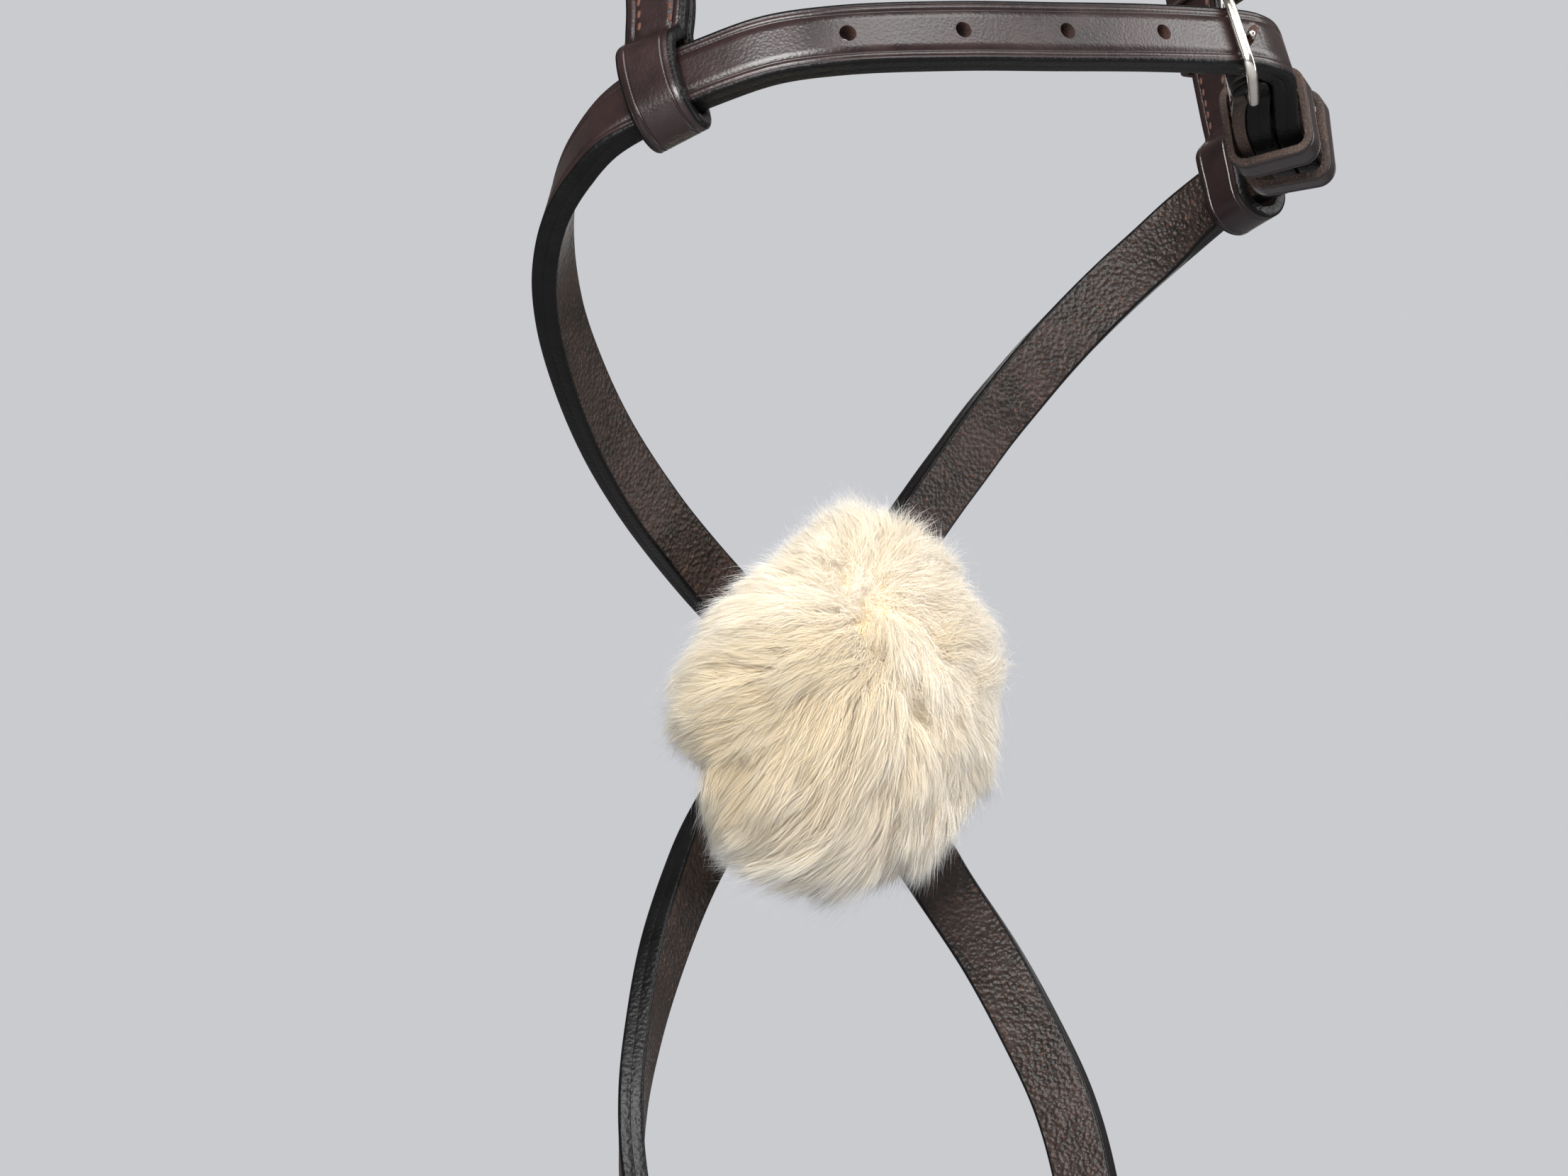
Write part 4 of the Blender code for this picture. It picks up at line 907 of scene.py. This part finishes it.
def hanger_outline():
    """The middle line of a hanger's leather, from the loop round the strap up to the fold round
    the heel bar: outward, then up the hanger."""
    half = HANGER_LEATHER / 2
    loop = STRAP_THICKNESS / 2 + LOOP_SIDE_ROOM + half
    bottom = STRAP_WIDTH / 2 + LOOP_END_ROOM + half - loop
    shoulder = STRAP_WIDTH / 2
    seam = GLUE_LINE / 2 + half
    fold = WIRE_RADIUS + FOLD_CLEARANCE + half
    upper_taper, lower_taper = HANGER_TAPER_SHARES
    side = [(fold, HANGER_RISE), ((fold + seam) / 2, HANGER_RISE - upper_taper * fold),
            (seam, HANGER_RISE - lower_taper * fold), (seam, (HANGER_RISE + HANGER_NECK) / 2),
            (seam, HANGER_NECK + HANGER_SEAM_LENGTH), (seam, HANGER_NECK + HANGER_SEAM_LENGTH / 3),
            (seam, HANGER_NECK)]
    for share in (0.25, 0.5, 0.75):
        ease = 0.5 - 0.5 * math.cos(math.pi * share)
        side.append((seam + (loop - seam) * ease, HANGER_NECK + (shoulder - HANGER_NECK) * share))
    side += [(loop, shoulder), (loop, 0)]
    turns = np.linspace(0, math.pi, BEND_POINTS)
    bend = [(loop * math.cos(t), -bottom - loop * math.sin(t)) for t in turns]
    top = [(-fold * math.cos(t), HANGER_RISE + fold * math.sin(t)) for t in turns[1:-1]]
    return side + bend + [(-a, b) for a, b in reversed(side)] + top


def eased(outline):
    """The same closed outline as a smooth curve through its points."""
    flat = np.array(outline)
    before, after, beyond = (np.roll(flat, shift, axis=0) for shift in (1, -1, -2))
    span = np.linalg.norm(after - flat, axis=1)[:, None]
    start = (after - before) * span / (np.linalg.norm(flat - before, axis=1)[:, None] + span)
    end = (beyond - flat) * span / (np.linalg.norm(beyond - after, axis=1)[:, None] + span)
    fine = []
    for t in np.arange(EASED_STEPS) / EASED_STEPS:
        fine.append((2 * t ** 3 - 3 * t ** 2 + 1) * flat + (t ** 3 - 2 * t ** 2 + t) * start
                    + (3 * t ** 2 - 2 * t ** 3) * after + (t ** 3 - t ** 2) * end)
    return np.stack(fine, axis=1).reshape(-1, 2)


def hanger(name, route, distance):
    """A cheek hanger. Its loop lies square to the strap, and its upright leans toward the poll."""
    centre, along, outward, across = route.at(distance)
    rise = square_to(np.array((0, POLL_FORWARD, POLL_HEIGHT)) - centre, outward)
    width = np.cross(rise, outward)
    lean = math.asin(np.dot(across * math.copysign(1, across[2]), width))
    shoulder = STRAP_WIDTH / 2
    half = HANGER_LEATHER / 2
    section, zones = band_section(
        HANGER_WIDTH / 2, -half, half, HANGER_EDGE_CORNER, FLESH_CORNER, HANGER_CREASES)
    outline = eased(hanger_outline())
    path, normals = closed_path(outline, np.zeros(3), np.array((1, 0, 0)), UP)
    rings = []
    for (a, b), normal in zip(outline, normals):
        ease = min(1, max(0, (b + shoulder) / (HANGER_NECK + HANGER_SEAM_LENGTH + shoulder)))
        ease = ease * ease * (3 - 2 * ease)
        turn = lean * (1 - ease)
        lift = rise * math.cos(turn) + width * math.sin(turn)
        side = width * math.cos(turn) - rise * math.sin(turn)
        narrow = (HANGER_LOOP_WIDTH + (HANGER_WIDTH - HANGER_LOOP_WIDTH) * ease) / HANGER_WIDTH
        facing = -outward * normal[0] - lift * normal[2]
        middle = centre + outward * a + lift * b
        rings.append([middle + side * w * narrow + facing * h for w, h in section])
    finishes = [grain_leather, edge_leather, flesh_leather]
    piece = sweep(name + "_leather", rings, zones, finishes, closed=True)
    heel = centre + rise * HANGER_RISE
    reach = FOLD_RADIUS + HANGER_LEATHER
    slot = block(heel + rise * (reach - SLOT_DEPTH) / 2, (rise, width, outward),
                 ((reach + SLOT_DEPTH) / 2, SLOT_WIDTH / 2, 2 * FOLD_RADIUS))
    punch(piece, [slot])
    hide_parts(name)
    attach(piece, name)

    face = GLUE_LINE / 2 + HANGER_LEATHER
    rows = []
    for side in (-1, 1):
        for edge in (-1, 1):
            rows.append([
                (centre + rise * height + outward * side * face
                 + width * edge * (HANGER_WIDTH / 2 - STITCH_INSET), rise, outward * side)
                for height in np.arange(HANGER_STITCH_START, HANGER_STITCH_END, STITCH_PITCH)])
    stitching(name + "_stitches", rows, name)

    buckle(name + "_buckle", heel, rise, width)
    tilt = math.asin(TONGUE_PIN_ROOM / BUCKLE_LENGTH)
    pin = rise * math.cos(tilt) + outward * math.sin(tilt)
    tongue(name + "_tongue", heel, pin, width, BUCKLE_LENGTH + TONGUE_PROUD)
    low = -face - BAR_GAP
    edge = HANGER_WIDTH / 2 + BAR_GAP
    for part, body, drop in (("_keeper", name, HANGER_KEEPER_DROP),
                             ("_runner", name + "_runner", HANGER_RUNNER_DROP)):
        place = centre + rise * (HANGER_RISE - drop)
        keeper(name + part, body, place, width, outward, rise, low, BILLET_ROOM - low, edge,
               HANGER_KEEPER_CORNER)


hanger("left_hanger", strap_two, strap_two.nearest(upper_two[UPPER_TWO_SHARES.index(CHEEK_TWO_SHARES)]))
hanger("right_hanger", strap_one, strap_one.nearest(upper_one[UPPER_ONE_SHARES.index(CHEEK_ONE_SHARES)]))


# The crossing, outside: a round leather rosette over both straps, creased and sewn near its rim,
# held by a domed nickel plated rivet through everything.
ROSETTE_RADIUS = 0.0220
ROSETTE_THICKNESS = 0.0030
ROSETTE_CORNER = 0.0007
ROSETTE_GROOVES = ((0.0014, 0.0003, 0.00025), (0.0026, 0.0003, 0.00025))
BORE_RIM_WIDTH = 0.0006
BORE_RIM_DEPTH = 0.0005
ROSETTE_STITCH_RADIUS = 0.0178
TURNED_SIDES = 96
RIVET_RADIUS = 0.0020
RIVET_HEAD_RADIUS = 0.0050
RIVET_HEAD_HEIGHT = 0.0016
DOME_ROUNDING = (0.97, 9)
BACKING_THICKNESS = 0.0026

stack = CROSSING_OFFSET + STRAP_THICKNESS / 2 + GLUE_LINE


def turned(name, profile, axis, finishes, zones=None, stretch=1.0, bored=True):
    """A body turned about an axis through the crossing, from points of radius and height."""
    first = unit(np.cross(axis, UP))
    turns = np.linspace(0, FULL_TURN, TURNED_SIDES, endpoint=False)
    spokes = [first * math.cos(t) + UP * stretch * math.sin(t) for t in turns]
    if bored:
        rings = [[spoke * r + axis * h for r, h in profile] for spoke in spokes]
        return sweep(name, rings, zones, finishes, closed=True)
    return sweep(name, [[spoke * r + axis * h for spoke in spokes] for r, h in profile], None, finishes)


def disc_profile(bore, radius, low, thickness, corner, grooves=()):
    """A bored disc's section from its bore's low rim, with pressed grooves on its high face."""
    high = low + thickness
    rows = [(bore, low, 2)]
    rows += [(r, h, 1) for r, h in arc(radius - corner, low + corner, corner, -1, 0, 4)]
    rows += [(r, h, 1) for r, h in arc(radius - corner, high - corner, corner, 0, 1, 6)]
    rows[-1] = (*rows[-1][:2], 0)
    for inset, reach, depth in grooves:
        rows += groove(radius - inset, reach, high, depth)
    rows += [(radius * 0.5, high, 0), (bore + BORE_RIM_WIDTH, high, 1), (bore, high - BORE_RIM_DEPTH, 1)]
    return [row[:2] for row in rows], [row[2] for row in rows]


def ring_of_stitches(name, radius, height, axis, stretch=1.0):
    """A ring of stitches round the crossing on a face at the given height."""
    first = unit(np.cross(axis, UP))
    count = round(FULL_TURN * radius * (1 + stretch) / 2 / STITCH_PITCH)
    row = []
    for turn in np.arange(count) * FULL_TURN / count:
        place = first * math.cos(turn) * radius + UP * math.sin(turn) * radius * stretch
        along = unit(UP * math.cos(turn) * stretch - first * math.sin(turn))
        row.append((place + axis * height, along, axis))
    stitching(name, [row], "noseband")


profile, zones = disc_profile(
    RIVET_BORE, ROSETTE_RADIUS, stack, ROSETTE_THICKNESS, ROSETTE_CORNER, ROSETTE_GROOVES)
rosette = turned("rosette_leather", profile, FORWARD, [grain_leather, edge_leather, flesh_leather], zones)
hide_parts("nose_rosette")
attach(rosette, "noseband")
ring_of_stitches("rosette_stitches", ROSETTE_STITCH_RADIUS, stack + ROSETTE_THICKNESS, FORWARD)

outside = stack + ROSETTE_THICKNESS + GLUE_LINE
inside = -(stack + BACKING_THICKNESS + GLUE_LINE)
dome = [(RIVET_HEAD_RADIUS * math.cos(t), RIVET_HEAD_HEIGHT * math.sin(t))
        for t in np.linspace(0, *DOME_ROUNDING) * math.pi / 2]
profile = [(r, inside - h) for r, h in reversed(dome)] + [(RIVET_RADIUS, inside), (RIVET_RADIUS, outside)]
profile += [(r, outside + h) for r, h in dome]
rivet = turned("rivet_metal", profile, FORWARD, [nickel], bored=False)
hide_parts("crossing_rivet")
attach(rivet, "noseband")


# The crossing, inside: an oval of the same leather behind the straps, and the skin of the
# sheepskin glued and sewn on it round the rim.
BACKING_WIDTH = 0.0480
BACKING_HEIGHT = 0.0580
BACKING_CORNER = 0.0006
BACKING_STITCH_RADIUS = 0.0215
backing_stretch = BACKING_HEIGHT / BACKING_WIDTH

profile, zones = disc_profile(
    RIVET_BORE, BACKING_WIDTH / 2, stack, BACKING_THICKNESS, BACKING_CORNER)
backing = turned("backing_leather", profile, -FORWARD, [raw_leather, edge_leather, grain_leather], zones,
                 stretch=backing_stretch)
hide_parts("pad_backing")
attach(backing, "noseband")
ring_of_stitches("backing_stitches", BACKING_STITCH_RADIUS, -stack, FORWARD, backing_stretch)


# The sheepskin: clipped merino fleece on its own skin. The under-wool is a dense springy mass,
# golden near the skin, and the locks on it fan out from a whorl, pale at their tips. They lie
# long and combed down to the left, and stand short and fluffy to the upper right.
PAD_DEPTH = 0.0250
PAD_DROP = 0.0015
PAD_OFFSET = 0.0015
PAD_SEAT_GAP = 0.0004
WIDEST_DEPTH = 0.0085
FLEECE_REACH = 0.0450
# How far the fleece reaches at every ten degrees, from the right of the pad up and round
REACH_SHARES = (
    0.90, 1.02, 1.03, 1.01, 1.03, 1.03, 1.03, 1.01, 1.02, 1.00, 0.93, 0.85,
    0.79, 0.79, 0.83, 0.87, 0.90, 0.96, 1.06, 1.10, 1.06, 0.93, 1.09, 1.13,
    1.11, 1.07, 1.05, 1.06, 0.98, 1.01, 1.02, 0.94, 0.91, 0.98, 0.98, 0.93,
)
FLEECE_WRAP = math.radians(112)
UNDER_WOOL_SHARE = 0.80
# The wool fans out from the whorl and is combed the given way, by shares of a quarter turn: a
# little where it stands, more where it lies. Slow waves turn it: strength, ripples, start.
WHORL = np.array((-0.08, 0.22))
COMBED_WAY = np.array((-0.62, -0.78))
LYING_AT_WHORL = 0.45
LYING_GAIN = 0.8
FAN_SHARE = 0.22
COMB_PULL = (0.03, 0.19)
LIE_WAVES = ((0.34, 4.1, 1.9, 0.6), (0.30, -3.7, 7.3, 2.1))
LOCKS = 430
LOCK_JITTER = 0.04
LOCK_HEIGHTS = (0.92, 1.045)
LOCK_SHIFT = 0.055
WISPS = 7400
WISP_JITTER = 0.012
WISP_SHIFT = 0.075
WISP_SPREAD = 0.025
WISP_GATHER = (0.08, 0.14)
# A real fibre is 0.02 mm thick. Each strand is drawn six times as thick, to show, and stands
# for a small tuft.
STRANDS = 98000
STRANDS_A_PIECE = 7000
STRAND_RADIUS = 0.000058
STRAND_POINTS = 6
STRAND_JITTER = 0.02
STRAND_SHIFT = (0.070, -0.030)
STRAND_SPREAD = 0.03
STRAND_GATHER = (0.48, 0.16)
GATHER_SPREAD = 0.12
GATHER_LIMIT = 0.9
ELBOW_SHARES = (0.62, -0.22)
STRAND_TAPER = 0.7
STRAND_THICKNESSES = (0.75, 1.25)
ROOT_DEPTH_SHARE = 0.03
STRAY_SHARE = 0.18
STRAY_LENGTH = 0.08
STRAY_GATHER = 0.2
KINK = 0.00036
KINK_RISE = 0.7
CRIMP = 0.00035
CRIMP_WAVES = 1.4
CRIMP_SPREAD = 0.6
CLUMP_SPACING = 0.0012
UNDER_WOOL_RINGS = 30
UNDER_WOOL_SIDES = 72
SKIN_RIM = ((0.97, 0.0012), (0.93, 0))
POCKET_ROOM = 0.0010

seat = stack + BACKING_THICKNESS + PAD_SEAT_GAP
rng = np.random.default_rng(11)


def laid(pair, lying):
    """A pair's first value where the wool stands, with its second added where it lies flat."""
    return pair[0] + pair[1] * lying


def fleece(flat, share):
    """Points of a fleece surface. flat holds places on the pad's front as shares of a quarter
    turn from its middle, and share is the surface's size against the tips of the wool."""
    turn = np.arctan2(flat[..., 1], flat[..., 0])
    fall = np.minimum(np.linalg.norm(flat, axis=-1) * math.pi / 2, FLEECE_WRAP)
    step = (turn / math.radians(10)) % len(REACH_SHARES)
    reach = np.interp(step, np.arange(len(REACH_SHARES) + 1), REACH_SHARES + REACH_SHARES[:1])
    plump = np.where(fall < math.pi / 2, PAD_DEPTH - WIDEST_DEPTH, WIDEST_DEPTH)
    out = np.sin(fall) * reach * FLEECE_REACH * share
    depth = WIDEST_DEPTH + np.cos(fall) * plump * share
    return np.stack((np.cos(turn) * out - PAD_OFFSET, -seat - depth, np.sin(turn) * out - PAD_DROP), axis=-1)


def spread(count, jitter):
    """Places spread evenly over the fleece, by the golden angle."""
    share = (np.arange(count) + 0.5) / count
    fall = np.arccos(1 - share * (1 - math.cos(FLEECE_WRAP)))
    turn = np.arange(count) * math.pi * (3 - math.sqrt(5))
    flat = np.stack((np.cos(turn), np.sin(turn)), axis=-1) * (fall / (math.pi / 2))[:, None]
    return flat + rng.normal(0, jitter, flat.shape)


def combed(flat):
    """Where the tip of the wool rooted at each place comes to lie, and how flat it is combed."""
    away = flat - WHORL
    lying = np.clip(LYING_AT_WHORL + LYING_GAIN * (away @ COMBED_WAY), 0, 1)[:, None]
    pull = away * FAN_SHARE + COMBED_WAY * laid(COMB_PULL, lying)
    bend = sum(size * np.sin(a * flat[:, 0] + b * flat[:, 1] + start) for size, a, b, start in LIE_WAVES)
    turned_pull = np.stack((pull[:, 0] * np.cos(bend) - pull[:, 1] * np.sin(bend),
                            pull[:, 0] * np.sin(bend) + pull[:, 1] * np.cos(bend)), axis=-1)
    return flat + turned_pull, lying


def owners(places, centres):
    """Which of the centres is nearest to each place."""
    tree = KDTree(len(centres))
    for i, (a, b) in enumerate(centres):
        tree.insert((a, b, 0), i)
    tree.balance()
    return np.array([tree.find((a, b, 0))[1] for a, b in places])


# Each lock gathers its wisps, and each wisp its strands, more where the wool lies combed
lock_roots = spread(LOCKS, LOCK_JITTER)
lock_tips = combed(lock_roots)[0]
lock_height = rng.uniform(*LOCK_HEIGHTS, LOCKS)
lock_shift = rng.normal(0, LOCK_SHIFT, lock_tips.shape)
lock_points = fleece(lock_tips + lock_shift, lock_height)
wisp_roots = spread(WISPS, WISP_JITTER)
wisp_locks = owners(wisp_roots, lock_roots)
wisp_tips, wisp_lying = combed(wisp_roots)
wisp_points = fleece(wisp_tips + lock_shift[wisp_locks] + rng.normal(0, WISP_SHIFT, wisp_tips.shape),
                     lock_height[wisp_locks] + rng.normal(0, WISP_SPREAD, WISPS))
wisp_points += (lock_points[wisp_locks] - wisp_points) * laid(WISP_GATHER, wisp_lying)

roots = spread(STRANDS, STRAND_JITTER)
rng.shuffle(roots)
wisps = owners(roots, wisp_roots)
locks = wisp_locks[wisps]
tips, lying = combed(roots)
tips += lock_shift[locks]
length = lock_height[locks] + rng.normal(0, STRAND_SPREAD, STRANDS)
stray = rng.random(STRANDS) < STRAY_SHARE
length[stray] += rng.uniform(0.0, STRAY_LENGTH, stray.sum())
gather = laid(STRAND_GATHER, lying[:, 0]) + rng.normal(0, GATHER_SPREAD, STRANDS)
gather[stray] *= STRAY_GATHER
root_points = fleece(roots, UNDER_WOOL_SHARE - ROOT_DEPTH_SHARE)
tip_points = fleece(tips + rng.normal(0, 1, tips.shape) * laid(STRAND_SHIFT, lying), length)
tip_points += (wisp_points[wisps] - tip_points) * np.clip(gather, 0, GATHER_LIMIT)[:, None]

# A strand leaves the skin upright, bends over to its tip, and has a kink and a crimp of its own
stand = unit(fleece(roots, 1.0) - fleece(roots, 0.5))
reach = np.linalg.norm(tip_points - root_points, axis=1)[:, None]
elbows = root_points + stand * reach * laid(ELBOW_SHARES, lying)
shares = np.linspace(0, 1, STRAND_POINTS)
curve = np.stack([
    root_points * (1 - t) ** 2 + elbows * 2 * t * (1 - t) + tip_points * t ** 2 for t in shares], axis=1)
kink = rng.normal(0, 1, curve.shape) * (KINK * shares ** KINK_RISE)[None, :, None]
crimp_phase = rng.uniform(0, FULL_TURN, WISPS)[wisps] + rng.normal(0, CRIMP_SPREAD, STRANDS)
crimp = np.sin(crimp_phase[:, None] + shares[None] * FULL_TURN * CRIMP_WAVES) * (CRIMP * shares)[None]
sideways = unit(np.cross(stand, tip_points - root_points))
curve += kink + crimp[..., None] * sideways[:, None]
course = unit(np.gradient(curve, axis=1))
first = unit(np.cross(course, sideways[:, None]))
second = np.cross(course, first)
own_size = rng.uniform(*STRAND_THICKNESSES, STRANDS)[:, None]
thickness = STRAND_RADIUS * (1 - STRAND_TAPER * shares) * own_size

# Merino wool, washed and left undyed: light spreads inside it, so that it glows and its hollows
# turn golden and not dark, helped by painted golden shade on the low locks. Its fibres have hardly
# any gloss, only a soft sheen at the edges.
wool, tree = new_material("merino_fleece")
toward_tip = node(tree, "Attribute", attribute_name="tip_share").outputs["Fac"]
own_tone_and_painted_shade = node(tree, "Attribute", attribute_name="tone").outputs["Fac"]
depth_tone = node(tree, "MixRGB", {0: toward_tip, 1: colour("#F8DDA0"), 2: colour("#FFF6E0")})
# Each strand's tone: golden by chance, and painted golden shade where its lock sits low in a hollow
fleck_and_painted_shade = node(tree, "MapRange", {"Value": own_tone_and_painted_shade, "To Max": 0.70})
tone = node(tree, "MixRGB", {0: fleck_and_painted_shade, 1: depth_tone, 2: colour("#FBE4B2")})
shader = node(tree, "BsdfPrincipled", {
    "Base Color": tone, "Roughness": 0.85, "IOR": 1.5, "Subsurface Weight": 1.0,
    "Subsurface Radius": (1.0, 0.9, 0.7), "Subsurface Scale": 0.004, "Sheen Weight": 0.25,
    "Sheen Roughness": 0.5})
node(tree, "OutputMaterial", {"Surface": shader})

# The wool near the skin, matted by its grease: more golden, dull, in clumps of about a millimetre, with
# painted shade in the hollows between the clumps
under_wool = speckled_with_painted_shade("matted_under_wool", CLUMP_SPACING, 5.0, "#F6DC9C", "#FDEBBE", 0.0008, {
    "Roughness": 0.95, "Subsurface Weight": 0.6, "Subsurface Radius": (1.0, 0.8, 0.5),
    "Subsurface Scale": 0.004})

turns = np.linspace(0, FULL_TURN, UNDER_WOOL_SIDES, endpoint=False)
way = np.stack((np.cos(turns), np.sin(turns)), axis=-1)
falls = np.linspace(math.radians(3), FLEECE_WRAP, UNDER_WOOL_RINGS)
rings = [fleece(way * fall / (math.pi / 2), UNDER_WOOL_SHARE) for fall in falls]
rim_ring = rings[-1]
rings += [rim_ring * (share, 0, share) - (0, seat + lift, 0) for share, lift in SKIN_RIM]
pocket = np.stack((way[:, 0], way[:, 0] * 0, way[:, 1]), axis=-1) * (RIVET_HEAD_RADIUS + POCKET_ROOM)
rings += [pocket - (0, seat + depth, 0) for depth in (0, RIVET_HEAD_HEIGHT + POCKET_ROOM)]
base = sweep("sheepskin_under_wool", rings, None, [under_wool])
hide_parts("sheepskin_pad")
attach(base, "noseband")

RINGS = STRAND_POINTS - 1
TIP = RINGS * 3
strand_faces = ring_faces(RINGS, 3)[:-1] + [(TIP - 3 + k, TIP - 3 + (k + 1) % 3, TIP) for k in range(3)]
strand_corners = np.concatenate(strand_faces)
strand_starts = np.cumsum([0] + [len(face) for face in strand_faces[:-1]])
spoke_turns = np.arange(3) * FULL_TURN / 3


def wool_piece(name, low, high):
    """A share of the strands as one mesh: three-sided, closed at the root, pointed at the tip."""
    count = high - low
    spokes = (first[low:high, :RINGS, None] * np.cos(spoke_turns)[:, None]
              + second[low:high, :RINGS, None] * np.sin(spoke_turns)[:, None])
    body = curve[low:high, :RINGS, None] + spokes * thickness[low:high, :RINGS, None, None]
    points = np.concatenate((body.reshape(count, -1, 3), curve[low:high, -1:]), axis=1)
    along = np.concatenate((np.repeat(shares[:RINGS], 3), [1.0]))
    strand = np.arange(count)[:, None]
    mesh = bpy.data.meshes.new(name)
    mesh.vertices.add(count * (TIP + 1))
    mesh.loops.add(count * len(strand_corners))
    mesh.polygons.add(count * len(strand_faces))
    for layer, key, values, kind in (
            (mesh.vertices, "co", points, np.float32),
            (mesh.loops, "vertex_index", strand * (TIP + 1) + strand_corners, np.int32),
            (mesh.polygons, "loop_start", strand * len(strand_corners) + strand_starts, np.int32)):
        layer.foreach_set(key, values.astype(kind).ravel())
    mesh.update(calc_edges=True)
    for key, values in (("tip_share", np.tile(along, count)),
                        ("tone", np.repeat(strand_tone_and_painted_shade[low:high], TIP + 1))):
        mesh.attributes.new(key, "FLOAT", "POINT").data.foreach_set("value", values.astype(np.float32))
    mesh.materials.append(wool)
    made = placed(name, mesh)
    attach(made, "noseband")


# Painted shade: the wool of low locks, which sit in the hollows, is drawn more golden. Each wisp
# and strand is also a little more golden by chance
LOW_LOCK_PAINTED_SHADE = 4.5
WISP_GOLD = 0.25
STRAND_GOLD = 0.15

strand_tone_and_painted_shade = (LOCK_HEIGHTS[1] - lock_height[locks]) * LOW_LOCK_PAINTED_SHADE
strand_tone_and_painted_shade += rng.random(WISPS)[wisps] * WISP_GOLD + rng.random(STRANDS) * STRAND_GOLD
for k in range(STRANDS // STRANDS_A_PIECE):
    wool_piece("sheepskin_wool_%02d" % (k + 1), k * STRANDS_A_PIECE, (k + 1) * STRANDS_A_PIECE)
